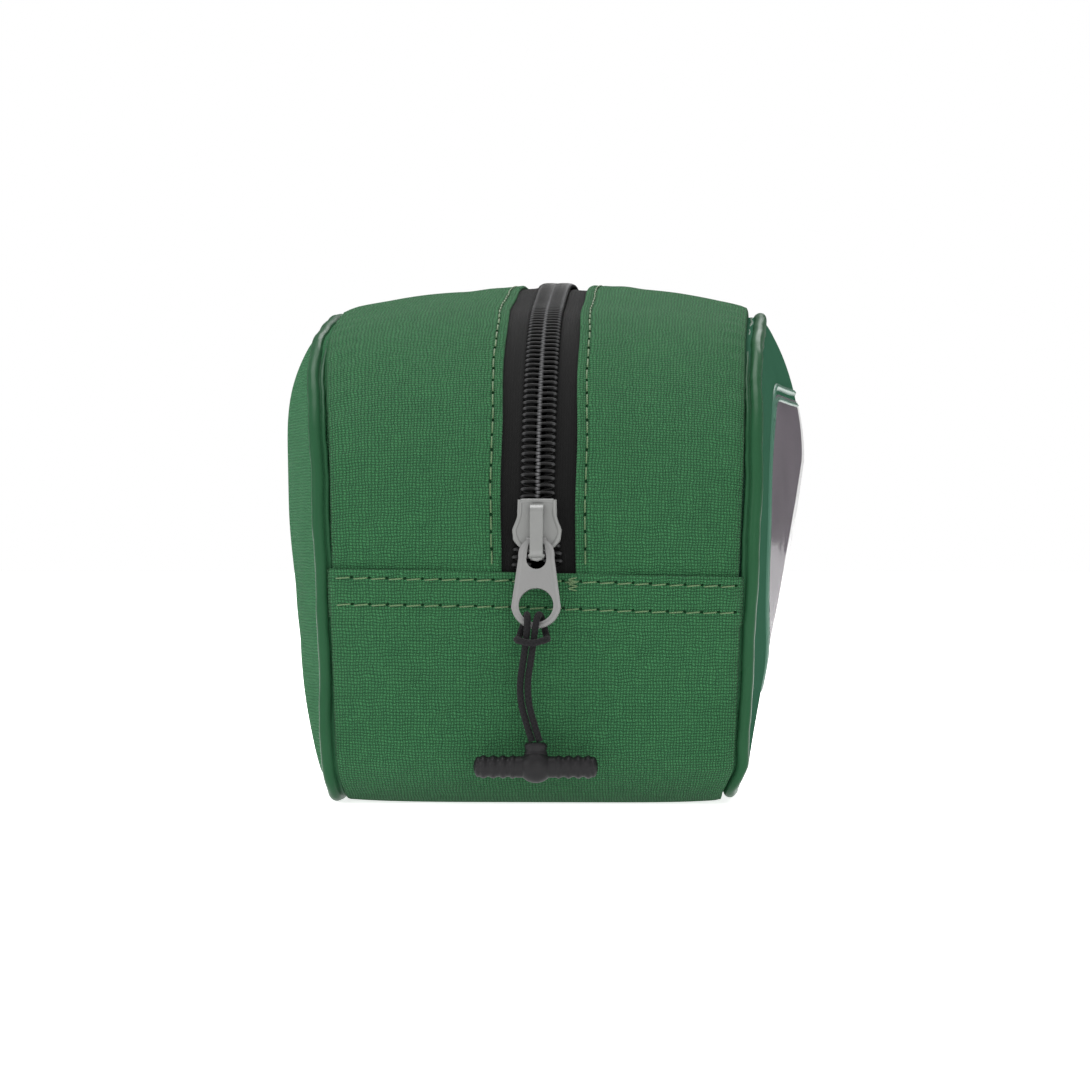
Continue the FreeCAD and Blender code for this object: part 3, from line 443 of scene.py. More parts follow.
def brushed(name):
    """Spring steel with fine lengthwise lines."""
    graph = Graph(name)
    line = graph.noise(graph.stretched(graph.object_coordinates(), 6000, 300), 1.0, 2)
    graph.bump(line, 0.00001)
    return graph.finish(graph.colour(line, (0.34, 0.34, 0.35), (0.55, 0.55, 0.56)),
                        graph.about(line, 0.2, 0.35), Metallic=1.0)


# ---- meshes from grids of points

def grid_piece(name, points, layout, material, body="bag", around=False, along=False,
               thickness=0.0):
    """A mesh from rows of points, joined round either way if asked, with its cloth layout in mm."""
    rows, columns = points.shape[:2]
    row_steps = rows if along else rows - 1
    column_steps = columns if around else columns - 1
    first = (np.arange(row_steps)[:, None] * columns + np.arange(column_steps)[None, :]).ravel()
    row_of, column_of = np.divmod(first, columns)
    next_row, next_column = (row_of + 1) % rows, (column_of + 1) % columns
    corners = np.stack([row_of * columns + column_of, next_row * columns + column_of,
                        next_row * columns + next_column, row_of * columns + next_column], axis=1)
    mesh = bpy.data.meshes.new(name)
    mesh.from_pydata((points.reshape(-1, 3) * MM).tolist(), [], corners.tolist())
    full = np.zeros((rows + 1, columns + 1, 2))
    full[:rows, :columns] = layout
    full[rows, :columns] = layout[-1] + (layout[-1] - layout[-2])
    full[:, columns] = full[:, columns - 1] + (full[:, columns - 1] - full[:, columns - 2])
    uv = np.stack([full[row_of, column_of], full[row_of + 1, column_of],
                   full[row_of + 1, column_of + 1], full[row_of, column_of + 1]], axis=1)
    mesh.uv_layers.new(name="cloth").data.foreach_set("uv", uv.ravel())
    return finish_piece(name, mesh, material, body, thickness)


def finish_piece(name, mesh, material, body, thickness=0.0):
    """Smooth the mesh, give it its material and body, and thicken it inwards if asked."""
    mesh.materials.append(material)
    mesh.polygons.foreach_set("use_smooth", [True] * len(mesh.polygons))
    mesh.validate()
    piece = placed(name, mesh)
    if thickness:
        shell = piece.modifiers.new("thickness", "SOLIDIFY")
        shell.thickness = thickness * MM
        shell.offset = -1
    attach(piece, body)
    return piece


def join_meshes(name, parts):
    """One mesh from several arrays of (points, faces, layout), layout given for each face corner."""
    points, faces, layouts, start = [], [], [], 0
    for part_points, part_faces, part_layout in parts:
        points.append(part_points)
        faces.append(part_faces + start)
        layouts.append(part_layout)
        start += len(part_points)
    mesh = bpy.data.meshes.new(name)
    mesh.from_pydata((np.concatenate(points) * MM).tolist(), [], np.concatenate(faces).tolist())
    mesh.uv_layers.new(name="cloth").data.foreach_set("uv", np.concatenate(layouts).ravel())
    return mesh


def tube_piece(name, tubes, material, body):
    return finish_piece(name, join_meshes(name, tubes), material, body)


def lengths_along(points):
    """How far along a line each of its points lies."""
    return np.concatenate([[0], np.cumsum(np.linalg.norm(np.diff(points, axis=0), axis=1))])


def carried_frames(tangents):
    """One direction square to each tangent, turned as little as possible from each to the next."""
    start = np.array([1.0, 0.0, 0.0]) if abs(tangents[0][0]) < 0.8 else np.array([0.0, 1.0, 0.0])
    ups = []
    for tangent in tangents:
        start = start - tangent * np.dot(start, tangent)
        start = start / np.linalg.norm(start)
        ups.append(start)
    return np.array(ups)


def tube(centres, radii, sides, up=None, closed=False):
    """A tube round a line of points as (points, faces, layout); layout is in turns and mm along."""
    centres = np.asarray(centres, float)
    count = len(centres)
    if closed:
        tangents = np.roll(centres, -1, 0) - np.roll(centres, 1, 0)
    else:
        tangents = np.gradient(centres, axis=0)
    tangents = tangents / np.linalg.norm(tangents, axis=1)[:, None]
    up = carried_frames(tangents) if up is None else np.broadcast_to(up, (count, 3))
    across = np.cross(tangents, up)
    across = across / np.linalg.norm(across, axis=1)[:, None]
    lift = np.cross(across, tangents)
    angles = np.arange(sides) * 2 * PI / sides
    ring = across[:, None, :] * np.cos(angles)[:, None] + lift[:, None, :] * np.sin(angles)[:, None]
    points = centres[:, None, :] + ring * np.broadcast_to(radii, (count,))[:, None, None]
    index = np.arange(count * sides).reshape(count, sides)
    near = index if closed else index[:-1]
    far = np.roll(index, -1, 0) if closed else index[1:]
    faces = np.stack([near, far, np.roll(far, -1, 1), np.roll(near, -1, 1)], axis=2).reshape(-1, 4)
    length = lengths_along(centres)
    if closed:
        length = np.append(length, length[-1] + np.linalg.norm(centres[0] - centres[-1]))
    u, v = np.meshgrid(np.arange(sides + 1) / sides, length)
    corner = np.stack([u, v], axis=2)
    layout = np.stack([corner[:-1, :-1], corner[1:, :-1], corner[1:, 1:], corner[:-1, 1:]], axis=2)
    return points.reshape(-1, 3), faces, layout.reshape(-1, 4, 2)


def tapered(count, radius):
    """Radii of a thread that closes at both its ends."""
    radii = np.full(count, radius)
    radii[0] = radii[-1] = 0.02
    return radii


def smooth_line(points, steps, closed=False):
    """A rounded line through the points, with `steps` points to each span."""
    points = np.asarray(points, float)
    count = len(points)
    result = []
    for number in range(count if closed else count - 1):
        picks = [number - 1, number, number + 1, number + 2]
        picks = [p % count for p in picks] if closed else [min(max(p, 0), count - 1) for p in picks]
        a, b, c, d = points[picks]
        for t in np.arange(steps) / steps:
            result.append(0.5 * (2 * b + (c - a) * t + (2 * a - 5 * b + 4 * c - d) * t ** 2
                                 + (3 * b - a - 3 * c + d) * t ** 3))
    if not closed:
        result.append(points[-1])
    return np.array(result)


class Ripple:
    """Smooth random relief over a plane: a lattice of seeded heights, blended between its points."""

    def __init__(self, seed, cell):
        self.cell = cell
        self.heights = np.random.default_rng(seed).uniform(-1, 1, (64, 64))

    def at(self, x, y):
        x, y = np.broadcast_arrays(np.asarray(x, float) / self.cell, np.asarray(y, float) / self.cell)
        column, row = np.floor(x).astype(int), np.floor(y).astype(int)
        fx, fy = x - column, y - row
        fx, fy = fx * fx * (3 - 2 * fx), fy * fy * (3 - 2 * fy)
        h = self.heights
        low = h[row % 64, column % 64] * (1 - fx) + h[row % 64, (column + 1) % 64] * fx
        high = h[(row + 1) % 64, column % 64] * (1 - fx) + h[(row + 1) % 64, (column + 1) % 64] * fx
        return low * (1 - fy) + high * fy


def smooth(low, high, value):
    """0 below low, 1 above high, and an even S between."""
    share = np.clip((np.asarray(value, float) - low) / (high - low), 0, 1)
    return share * share * (3 - 2 * share)


# ---- the outline seen from the side

class Outline:
    """The closed side outline. `s` is its length in mm from the front seam, up over the top."""

    def __init__(self):
        middle = HALF_LENGTH - END_RADIUS
        top = middle / math.cos(END_ANGLE) + END_RADIUS
        top_centre = SEAM_HEIGHT - (top - END_RADIUS) * math.sin(END_ANGLE)
        foot = HALF_LENGTH - BASE_RADIUS
        self.arcs = [
            (-middle, SEAM_HEIGHT, END_RADIUS, PI, -END_ANGLE),
            (0, top_centre, top, PI - END_ANGLE, 2 * END_ANGLE - PI),
            (middle, SEAM_HEIGHT, END_RADIUS, END_ANGLE, -END_ANGLE),
            (HALF_LENGTH, SEAM_HEIGHT, 0, 0, SEAM_HEIGHT - BASE_RADIUS),
            (foot, BASE_RADIUS, BASE_RADIUS, 0, -PI / 2),
            (foot, 0, 0, -PI / 2, 2 * foot),
            (-foot, BASE_RADIUS, BASE_RADIUS, -PI / 2, -PI / 2),
            (-HALF_LENGTH, BASE_RADIUS, 0, PI, SEAM_HEIGHT - BASE_RADIUS),
        ]
        lengths = [radius * abs(turn) if radius else turn for _, _, radius, _, turn in self.arcs]
        self.ends = np.concatenate([[0], np.cumsum(lengths)])
        self.total = self.ends[-1]
        self.rear_seam = self.ends[3]

    def at(self, s):
        """Y, Z and the outward normal at each length in s."""
        s = np.asarray(s, float) % self.total
        which = np.clip(np.searchsorted(self.ends, s, side="right") - 1, 0, len(self.arcs) - 1)
        result = np.zeros((4,) + s.shape)
        for number, (cy, cz, radius, start, turn) in enumerate(self.arcs):
            here = which == number
            past = s[here] - self.ends[number]
            if radius:
                angle = start + math.copysign(1, turn) * past / radius
                result[0][here] = cy + radius * np.cos(angle)
                result[1][here] = cz + radius * np.sin(angle)
                result[2][here], result[3][here] = np.cos(angle), np.sin(angle)
            else:
                normal = (math.cos(start), math.sin(start))
                result[0][here] = cy + past * normal[1]
                result[1][here] = cz - past * normal[0]
                result[2][here], result[3][here] = normal
        return result


OUTLINE = Outline()
STRIP_RIPPLE = Ripple(11, 26)
FINE_RIPPLE = Ripple(12, 9)


def off_base(z):
    """0 on the base, where the bag lies flat, and 1 from a little way up its walls."""
    return smooth(1, 24, z)


def from_base(z, on_base, above):
    """A value that changes from the base to the walls."""
    return on_base + (above - on_base) * off_base(z)


def piping_level(z, side):
    """How far out from the outline the bead's middle is. On the floor the right bead is drawn up more."""
    return from_base(z, -1.95 - 0.45 * side, PIPING_LEVEL) - SHOULDER_DROP * smooth(70, 100, z)


def top_rise(s, x):
    """How far the bag's top stands up: a broad flat crown, and a little more along the zip."""
    over_top = smooth(76, 116, s) * (1 - smooth(OUTLINE.rear_seam - 60, OUTLINE.rear_seam, s))
    broad = 1 - smooth(17, 36, np.abs(x + 2))
    along_zip = 1 - smooth(2, 13, np.abs(x))
    return over_top * (TOP_RISE * broad + ZIP_RISE * along_zip)


def half_width(z, side):
    """The strip's half width, narrower at the base and a little wider on the left."""
    side = np.asarray(side)
    upright = HALF_STRIP * (0.955 + 0.001 * np.asarray(z, float)) - 0.6 * side
    base = (1.5 + 0.7 * side) * (1 - smooth(0, 7, z))
    return upright - base + (0.4 - 1.3 * side) * smooth(65, 100, z)


def zip_sway(s, side):
    """How far the folded edge beside the zip wanders."""
    return 0.25 * np.sin(s * 0.045 + side) + 0.12 * np.sin(s * 0.21 + 2 * side)


def outward(s):
    """The outline's outward direction at each length in s."""
    _, _, ny, nz = OUTLINE.at(s)
    return np.stack([np.zeros_like(ny), ny, nz], axis=-1)


def strip_surface(s, x, lift=0.0):
    """Points on the woven strip: s along it, x across it at its nominal width, lift outwards."""
    s, x, lift = np.broadcast_arrays(np.asarray(s, float), np.asarray(x, float), np.asarray(lift, float))
    y, z, ny, nz = OUTLINE.at(s)
    share = np.clip(x / HALF_STRIP, -1, 1)
    side = np.sign(x)
    edge = np.abs(share)
    world_x = x * (1 + (half_width(z, side) / HALF_STRIP - 1) * edge ** 1.5)
    drop = from_base(z, 0.6, CROWN) * edge ** 4.5 - top_rise(s, x)
    near_edge = smooth(0.80, 0.97, edge)
    # Counted back from the front seam near the end, so that the relief meets itself over the seam.
    run = np.where(s > 0.8 * OUTLINE.total, s - OUTLINE.total, s)
    pucker = 0.2 * near_edge * np.sin(run * 0.85 + 1.3 * np.sin(run * 0.11) + side)
    relief = 0.55 * STRIP_RIPPLE.at(x + 200, run) * smooth(3, 16, np.abs(x)) * (1 - 0.6 * near_edge)
    relief = relief + 0.12 * FINE_RIPPLE.at(x + 200, run) * smooth(9, 14, np.abs(x)) + pucker
    offset = lift - drop + relief * smooth(0, 12, z)
    return np.stack([world_x, y + ny * offset, z + nz * offset], axis=-1)


# ---- woven strips with folded edges

HEM_EDGE = 0.3
HEM_TILT = -0.022
HEM_DEPTH = 9.0
HEM_LIFT = 0.45
FIRST_ROW = 1.75
SECOND_ROW = 6.95
ZIP_ROW = 1.95


def hem_edge(x, end):
    """How far above the seam height the lower strip's folded edge runs, at the front or the rear."""
    return HEM_EDGE + HEM_TILT * np.asarray(x, float) * (1 if end < 0 else -1)


def hem_lift(below):
    """Extra thickness of the folded hem, pinched along its two rows of stitches."""
    body = HEM_LIFT * (1 - smooth(HEM_DEPTH - 1.2, HEM_DEPTH + 1.5, below))
    first = 0.22 * np.exp(-((below - FIRST_ROW) / 0.7) ** 2)
    second = 0.2 * np.exp(-((below - SECOND_ROW) / 0.8) ** 2)
    return body - first - second


FLANGE = [(-0.1, -0.15), (0.15, -0.7), (0.2, -1.6), (0.1, -3.2), (0.1, -6.0)]


def strip_columns():
    """X and extra lift at each place across a whole strip, with its edges turned in."""
    inner = [(x, 0.0) for x in np.arange(-HALF_STRIP + 0.7, HALF_STRIP - 0.69, 1.25)]
    right = [(HALF_STRIP + out, lift) for out, lift in FLANGE]
    left = [(-x, lift) for x, lift in reversed(right)]
    return np.array(left + inner + right).T


def lower_strip(material):
    """The strip round the front, base and rear, hemmed where it laps over the upper strips."""
    x, side_lift = strip_columns()
    hem = [(-0.55 - HEM_DEPTH, -0.75), (-4.0, -0.75), (-0.9, -0.72), (-0.45, -0.6), (-0.12, -0.3),
           (0.0, 0.0), (-0.12, 0.28), (-0.5, 0.48)]
    depth_steps = np.concatenate([np.arange(0.9, 12, 0.55), np.arange(12.5, 30, 1.5)])
    rows = []
    front_edge, rear_edge = hem_edge(x, -1), OUTLINE.rear_seam - hem_edge(x, 1)
    for below, lift in hem:
        rows.append((front_edge + below, np.full_like(x, lift)))
    for below in depth_steps:
        rows.append((front_edge - below, np.full_like(x, hem_lift(below))))
    front_end, rear_end = OUTLINE.total - 30, OUTLINE.rear_seam + 30
    rows += [(np.full_like(x, s), np.zeros_like(x)) for s in np.arange(front_end, rear_end, -2.2)]
    for below in depth_steps[::-1]:
        rows.append((rear_edge + below, np.full_like(x, hem_lift(below))))
    for below, lift in reversed(hem):
        rows.append((rear_edge - below, np.full_like(x, lift)))
    s, lift = np.array(rows).transpose(1, 0, 2)
    points = strip_surface(s, x[None, :], lift + side_lift[None, :])
    along = np.where(s < OUTLINE.rear_seam - 60, s + OUTLINE.total, s)
    across = np.broadcast_to(x - side_lift * np.sign(x), s.shape)
    piece = grid_piece("lower_strip_cloth", points, np.stack([across, along], axis=-1), material,
                       thickness=CLOTH_THICKNESS)
    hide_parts("lower_gusset")


def upper_strip(word, side, material):
    """One strip beside the zip, folded under along the zip and turned in at the side seam."""
    fold = [(9.0, -1.15), (3.0, -1.15), (0.8, -1.1), (0.25, -0.85), (0.0, -0.5), (0.18, -0.12),
            (0.6, 0.02), (1.1, 0.0), (1.6, -0.16), (1.95, -0.22), (2.3, -0.16), (2.9, 0.0), (3.6, 0.0)]
    columns = [(FOLD_X + out, lift) for out, lift in fold]
    columns += [(x, 0.0) for x in np.arange(FOLD_X + 4.6, HALF_STRIP - 0.8, 1.2)]
    columns += [(HALF_STRIP - 0.6 + out, lift) for out, lift in FLANGE]
    if side < 0:
        columns = columns[::-1]
    out, turned = np.array(columns).T
    s = np.arange(-8, OUTLINE.rear_seam + 8.1, 1.6)[:, None]
    x = side * (out + zip_sway(s, side) * (1 - smooth(FOLD_X + 4, FOLD_X + 12, out)))
    ridge = 0.10 * np.sin(s * PI / STITCH_PITCH) * np.exp(-((out - FOLD_X - ZIP_ROW) / 1.2) ** 2)
    lift = UPPER_LEVEL + 0.5 + turned + ridge
    lift = lift - 0.5 * smooth(FOLD_X + 6, FOLD_X + 12, out)
    points = strip_surface(s, x, lift)[:, ::-1]
    across, along = np.broadcast_arrays(side * (out - turned), s)
    across, along = across[:, ::-1], along[:, ::-1]
    piece = grid_piece(f"upper_strip_cloth_{word}", points, np.stack([across, along], axis=-1), material,
                       thickness=UPPER_THICKNESS)
    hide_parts(f"upper_gusset_{word}")


# ---- side panels

PANEL_START = 1.7


class Panel:
    """One domed side panel, as a height over the bag's middle plane at each Y and Z."""

    def __init__(self, side, bulge, peak, fullness, seed):
        self.side, self.bulge, self.peak, self.fullness = side, bulge, peak, fullness
        self.slow, self.quick = Ripple(seed, 34), Ripple(seed + 1, 13)
        s = np.linspace(0, OUTLINE.total, 721)[:-1]
        y, z, ny, nz = OUTLINE.at(s)
        inset = from_base(z, 2.8, PANEL_INSET)
        self.edge_y, self.edge_z = y - ny * inset, z - nz * inset
        angle = np.arctan2(self.edge_z - peak, self.edge_y)
        order = np.argsort(angle)
        self.angles = angle[order]
        self.reach = np.hypot(self.edge_y, self.edge_z - peak)[order]

    def out(self, y, z):
        """How far out the surface is, as a positive X, with the soft relief of the cloth."""
        y, z = np.broadcast_arrays(np.asarray(y, float), np.asarray(z, float))
        angle = np.arctan2(z - self.peak, y)
        reach = np.interp(angle, self.angles, self.reach, period=2 * PI)
        share = np.clip(np.hypot(y, z - self.peak) / reach, 0, 1)
        full = np.clip(1 - share ** 2.2, 0, 1) ** 0.75
        slack = 1 - share ** 0.95
        upward = smooth(-0.1, 1.0, np.sin(angle))
        rise = slack + (full - slack) * (self.fullness + (1 - self.fullness) * upward)
        inner = smooth(0.0, 0.35, 1 - share)
        seam = np.exp(-((1 - share) / 0.13) ** 2) * (1 - np.exp(-((1 - share) / 0.02) ** 2))
        pleat = seam * np.sin(angle * 23 + 2 * np.sin(angle * 5))
        relief = inner * (1.1 * self.slow.at(y + 300, z) + 0.35 * self.quick.at(y + 300, z)) + 0.45 * pleat
        start = half_width(z, self.side) + PANEL_START
        return start + self.bulge * rise + relief * (0.4 if self.side > 0 else 1.0)


LEFT_PANEL = Panel(LEFT, 13.9, 64, 0.72, 31)
RIGHT_PANEL = Panel(RIGHT, 8.8, 69, 0.05, 41)


def side_panel(word, panel, material):
    """The domed panel as rings from its seam in to its middle."""
    shares = np.concatenate([[1.0], 1 - np.linspace(0.006, 0.12, 12), np.linspace(0.86, 0.03, 44), [0.0015]])
    edge_y, edge_z = panel.edge_y[::2], panel.edge_z[::2]
    y = shares[:, None] * edge_y
    z = panel.peak + shares[:, None] * (edge_z - panel.peak)
    x = panel.out(y, z) * panel.side
    tuck = np.stack([(half_width(edge_z, panel.side) - 1.0) * panel.side, edge_y, edge_z], axis=-1)
    points = np.concatenate([tuck[None], np.stack([x, y, z], axis=-1)])
    layout = points[:, :, 1:]
    if panel.side > 0:
        points, layout = points[:, ::-1], layout[:, ::-1]
    piece = grid_piece(f"side_panel_cloth_{word}", points, layout, material,
                       around=True, thickness=CLOTH_THICKNESS)
    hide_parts(f"side_panel_{word}")


# ---- piping

PIPING_OUT = 1.9
PIPING_PROFILE = [(1.15, -1.6), (1.32, -0.5), (1.2, 0.45), (0.78, 1.08), (0.12, 1.32), (-0.56, 1.16),
                  (-1.0, 0.7), (-1.2, 0.2), (-1.42, 0.32), (-1.75, 0.42), (-2.05, 0.3), (-2.25, -0.2),
                  (-2.35, -1.6), (-2.2, -2.6), (0.9, -2.6)]


def piping(word, side, material):
    """The piping sewn into a side seam: a round bead with its narrow flange beside the strip."""
    s = np.arange(0, OUTLINE.total, 1.25)[:, None]
    y, z, ny, nz = OUTLINE.at(s)
    round_angle = s * 2 * PI / OUTLINE.total
    wave = 0.22 * np.sin(round_angle * 6 + side) + 0.1 * np.sin(round_angle * 29 + 2 * side)
    swell = 1 + 0.035 * np.sin(round_angle * 83 + side) * np.sin(round_angle * 16)
    profile = smooth_line(PIPING_PROFILE, 3, closed=True)
    out, lift = profile.T
    x = half_width(z, side) + PIPING_OUT + wave + out * swell
    level = piping_level(z, side) + lift * swell + 0.5 * wave * off_base(z)
    points = np.stack([side * x, y + ny * level, z + nz * level], -1)
    layout = np.stack(np.meshgrid(lengths_along(profile), s), axis=-1)
    if side < 0:
        points, layout = points[:, ::-1], layout[:, ::-1]
    piece = grid_piece(f"piping_cover_{word}", points, layout, material,
                       around=True, along=True)
    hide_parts(f"piping_{word}", f"piping_core_{word}", f"seam_binding_{word}")


# ---- window

WINDOW_HALF_LENGTH = 75
WINDOW_LOW, WINDOW_HIGH = 20, 84
WINDOW_CORNER = 28
WINDOW_MIDDLE = (WINDOW_HIGH + WINDOW_LOW) / 2
WINDOW_FILL_INSET = 2.5
RIM_POINTS = 220
RIM_PROFILE = [(-0.1, -0.3), (0.0, 0.25), (0.25, 0.75), (0.6, 0.95), (0.95, 0.75), (1.25, 0.5), (2.0, 0.42),
               (2.75, 0.5), (3.05, 0.75), (3.4, 0.95), (3.75, 0.7), (4.0, 0.35), (4.1, -0.2)]


def window_ring(inset):
    """Y, Z of the window's rounded outline, moved in by inset."""
    radius = WINDOW_CORNER - inset
    half_y = WINDOW_HALF_LENGTH - WINDOW_CORNER
    half_z = (WINDOW_HIGH - WINDOW_LOW) / 2 - WINDOW_CORNER
    middle = WINDOW_MIDDLE
    corners = [(half_y, half_z, 0), (-half_y, half_z, 90), (-half_y, -half_z, 180), (half_y, -half_z, 270)]
    ring = []
    for number, (y, z, start) in enumerate(corners):
        for turn in np.radians(np.linspace(start, start + 90, 24)):
            ring.append((y + radius * math.cos(turn), middle + z + radius * math.sin(turn)))
        next_y, next_z, next_start = corners[(number + 1) % 4]
        turn = math.radians(next_start)
        last = np.array(ring[-1])
        goal = np.array([next_y + radius * math.cos(turn), middle + next_z + radius * math.sin(turn)])
        steps = max(int(math.dist(last, goal) / 2), 1)
        ring += [tuple(last * (1 - k) + goal * k) for k in np.arange(1, steps) / steps]
    return np.array(ring)


def on_panel(rings, lifts):
    """Points over the right-hand panel at each ring's Y and Z, lifted off it."""
    y, z = rings[..., 0], rings[..., 1]
    return np.stack([RIGHT_PANEL.out(y, z) + lifts, y, z], axis=-1)


def window_rim(material):
    """The thick welded edge of the clear sheet: a flat band with a bead along both sides."""
    inset, lift = np.array(RIM_PROFILE).T
    rings = np.stack([resampled(window_ring(across), RIM_POINTS) for across in inset])
    points = on_panel(rings, lift[:, None])
    layout = np.stack(np.meshgrid(np.arange(RIM_POINTS), inset), axis=-1)
    piece = grid_piece("window_rim_band", points, layout, material, around=True)
    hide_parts("window_rim")


def resampled(ring, count):
    """A closed line with count evenly spaced points, without its first point again at the end."""
    ring = np.concatenate([ring, ring[:1]])
    length = lengths_along(ring)
    at = np.linspace(0, length[-1], count, endpoint=False)
    return np.stack([np.interp(at, length, ring[:, 0]), np.interp(at, length, ring[:, 1])], axis=1)


def window_fill(name, node, lift, swell, material):
    """A sheet that fills the window inside its rim, and swells towards its middle."""
    middle = np.array([0, WINDOW_MIDDLE])
    shares = np.append(np.linspace(1, 0.02, 60), 0.001)
    rings = middle + shares[:, None, None] * (window_ring(WINDOW_FILL_INSET) - middle)[None]
    points = on_panel(rings, (lift + swell * (1 - shares ** 2))[:, None])
    piece = grid_piece(name, points, points[:, :, 1:], material, around=True)
    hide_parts(node)


# ---- zip

TAPE_FAR = 15
TAPE_PROFILE = [(1.2, -0.5), (1.22, -0.08), (1.6, 0.0), (2.4, 0.02), (3.2, 0.0), (3.5, 0.12), (3.9, 0.14),
                (4.4, 0.02), (5.2, 0.0), (6.2, 0.02), (7.2, 0.0), (9.0, 0.0), (12, 0.0), (TAPE_FAR, 0.0)]
CHAIN_OPEN, CHAIN_CLOSED = 2.0, 11.5
CHAIN_SPREAD = 1.6
COIL_MIDDLE, COIL_REACH = 1.42, 1.72
COIL_LIFT, COIL_HEIGHT = 0.74, 0.42
WIRE_RADIUS, WIRE_SIDES = 0.33, 8
TURN_STEPS = 14


def chain_spread(s):
    """How far each half of the chain stands off the middle below the slider."""
    return CHAIN_SPREAD * (1 - smooth(CHAIN_OPEN, CHAIN_CLOSED, s))


def zip_tape(word, side, material):
    """The woven tape that carries one half of the chain."""
    out, lift = np.array(TAPE_PROFILE).T
    s = np.arange(-8, OUTLINE.rear_seam + 8.1, 1.5)[:, None]
    x = side * (out + chain_spread(s) * (1 - smooth(7, TAPE_FAR, out)))
    points = strip_surface(s, x, TAPE_LEVEL + lift)[:, ::-1]
    layout = np.stack(np.broadcast_arrays(out, s), axis=-1)[:, ::-1]
    piece = grid_piece(f"zip_tape_cloth_{word}", points, layout, material,
                       thickness=TAPE_THICKNESS)
    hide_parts(f"zip_tape_{word}")


def squared(value):
    """A cosine or a sine pushed out, so that a round turn becomes a rounded rectangle."""
    return np.sign(value) * np.abs(value) ** 0.72


def zip_coil(word, side, material):
    """One half of the chain: a flattened helix whose heads hook into the other half's gaps."""
    first, last = 1.2, OUTLINE.rear_seam - 1.2
    s = np.linspace(first, last, int((last - first) / CHAIN_PITCH * TURN_STEPS))
    turn = 2 * PI * s / CHAIN_PITCH + (PI if side > 0 else 0)
    across, height = squared(np.cos(turn)), squared(np.sin(turn))
    out = COIL_MIDDLE + COIL_REACH * across
    lift = TAPE_LEVEL + COIL_LIFT + COIL_HEIGHT * height
    centres = strip_surface(s + 0.22 * across, side * (out + chain_spread(s)), lift)
    _, _, ny, nz = OUTLINE.at(s)
    chain_direction = np.stack([np.zeros_like(ny), nz, -ny], axis=-1)
    part = tube(centres, WIRE_RADIUS, WIRE_SIDES, up=chain_direction)
    mesh = join_meshes(f"zip_coil_{word}_wire", [part])
    # Painted highlight: pale on the tops of the turns, at the heads and at the outer bends.
    inner = np.exp(-((out - 0.05) / 0.24) ** 2)
    outer = np.exp(-((out - 2.95) / 0.3) ** 2)
    painted_highlight = (0.5 * inner + 0.28 * outer) * smooth(0.35, 1.0, height)
    attribute = mesh.attributes.new("wear_and_highlight", "FLOAT", "POINT")
    attribute.data.foreach_set("value", np.repeat(painted_highlight, WIRE_SIDES).astype(np.float32))
    piece = finish_piece(f"zip_coil_{word}_wire", mesh, material, "bag")
    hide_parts(f"zip_coil_{word}")


# ---- stitching

THREAD_RADIUS = 0.145
SEAM_STITCHES = 23
SEAM_REACH = 39.4
STITCH_LIFT = np.array([-0.35, -0.05, 0.16, 0.22, 0.22, 0.16, -0.05, -0.35])
STITCH_STEPS = np.array([-1.45, -1.3, -0.95, -0.4, 0.4, 0.95, 1.3, 1.45])
THREAD_SIDES = 7
BACK_TACK_X = 7.0
HOLE_RADIUS = 0.24
HOLE_LIFT = np.array([-0.12, 0.02, 0.05, 0.02, -0.12])
HOLE_STEPS = STITCH_PITCH / 2 + np.array([-0.3, -0.16, 0.0, 0.16, 0.3])


def thread_mesh(name, rows, radius, material):
    """A piece from rows of short lines, each row given as (lines, outward directions)."""
    parts = []
    for lines, outward in rows:
        for line, up in zip(lines, outward):
            parts.append(tube(line, tapered(len(line), radius), THREAD_SIDES, up=up))
    return tube_piece(name, parts, material, "bag")


def stitching(word, node, row_makers, thread, shadow):
    """Rows of stitches, with a dark piece between each two that paints the shade in a needle hole."""
    stitches = [make_row(STITCH_STEPS, STITCH_LIFT) for make_row in row_makers]
    piece = thread_mesh(f"stitches_{word}", stitches, THREAD_RADIUS, thread)
    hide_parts(node)
    # Painted shade: small dark pieces stand for the shade inside the needle holes.
    holes = [make_row(HOLE_STEPS, HOLE_LIFT) for make_row in row_makers]
    thread_mesh(f"needle_hole_shadows_{word}", holes, HOLE_RADIUS, shadow)


def seam_row(end, below, steps, lift):
    """One row across the folded edge of the lower strip."""
    centre = (np.arange(SEAM_STITCHES) - (SEAM_STITCHES - 1) / 2) * STITCH_PITCH
    jitter = 0.12 * np.sin(centre * 7.3 + below)
    x = np.clip(centre[:, None] + steps[None, :], -SEAM_REACH, SEAM_REACH)
    if end < 0:
        s = hem_edge(x, end) - below + jitter[:, None]
    else:
        s = OUTLINE.rear_seam - hem_edge(x, end) + below + jitter[:, None]
    lines = strip_surface(s + 0.1 * steps[None, :], x, hem_lift(below) + lift[None, :])
    return lines, outward(s[:, 2])


def zip_row(side, steps, lift):
    """The topstitching beside the zip."""
    centre = np.arange(3.2, OUTLINE.rear_seam - 2, STITCH_PITCH)
    s = centre[:, None] + steps[None, :]
    x = side * (FOLD_X + ZIP_ROW + zip_sway(s, side) + 0.05 * np.sin(centre * 3.1)[:, None])
    return strip_surface(s, x, UPPER_LEVEL + 0.3 + lift[None, :]), outward(centre)


def back_tack(material):
    """A short zigzag that locks the upper row of the front seam beside the zip."""
    count = np.arange(7)
    x = BACK_TACK_X + 0.85 * (-1.0) ** count
    s = hem_edge(x, -1) - 0.8 - 0.42 * count
    line = smooth_line(strip_surface(s, x, hem_lift(FIRST_ROW) + 0.3), 4)
    part = tube(line, tapered(len(line), THREAD_RADIUS), THREAD_SIDES, up=outward(s[:1])[0])
    tube_piece("seam_back_tack", [part], material, "bag")


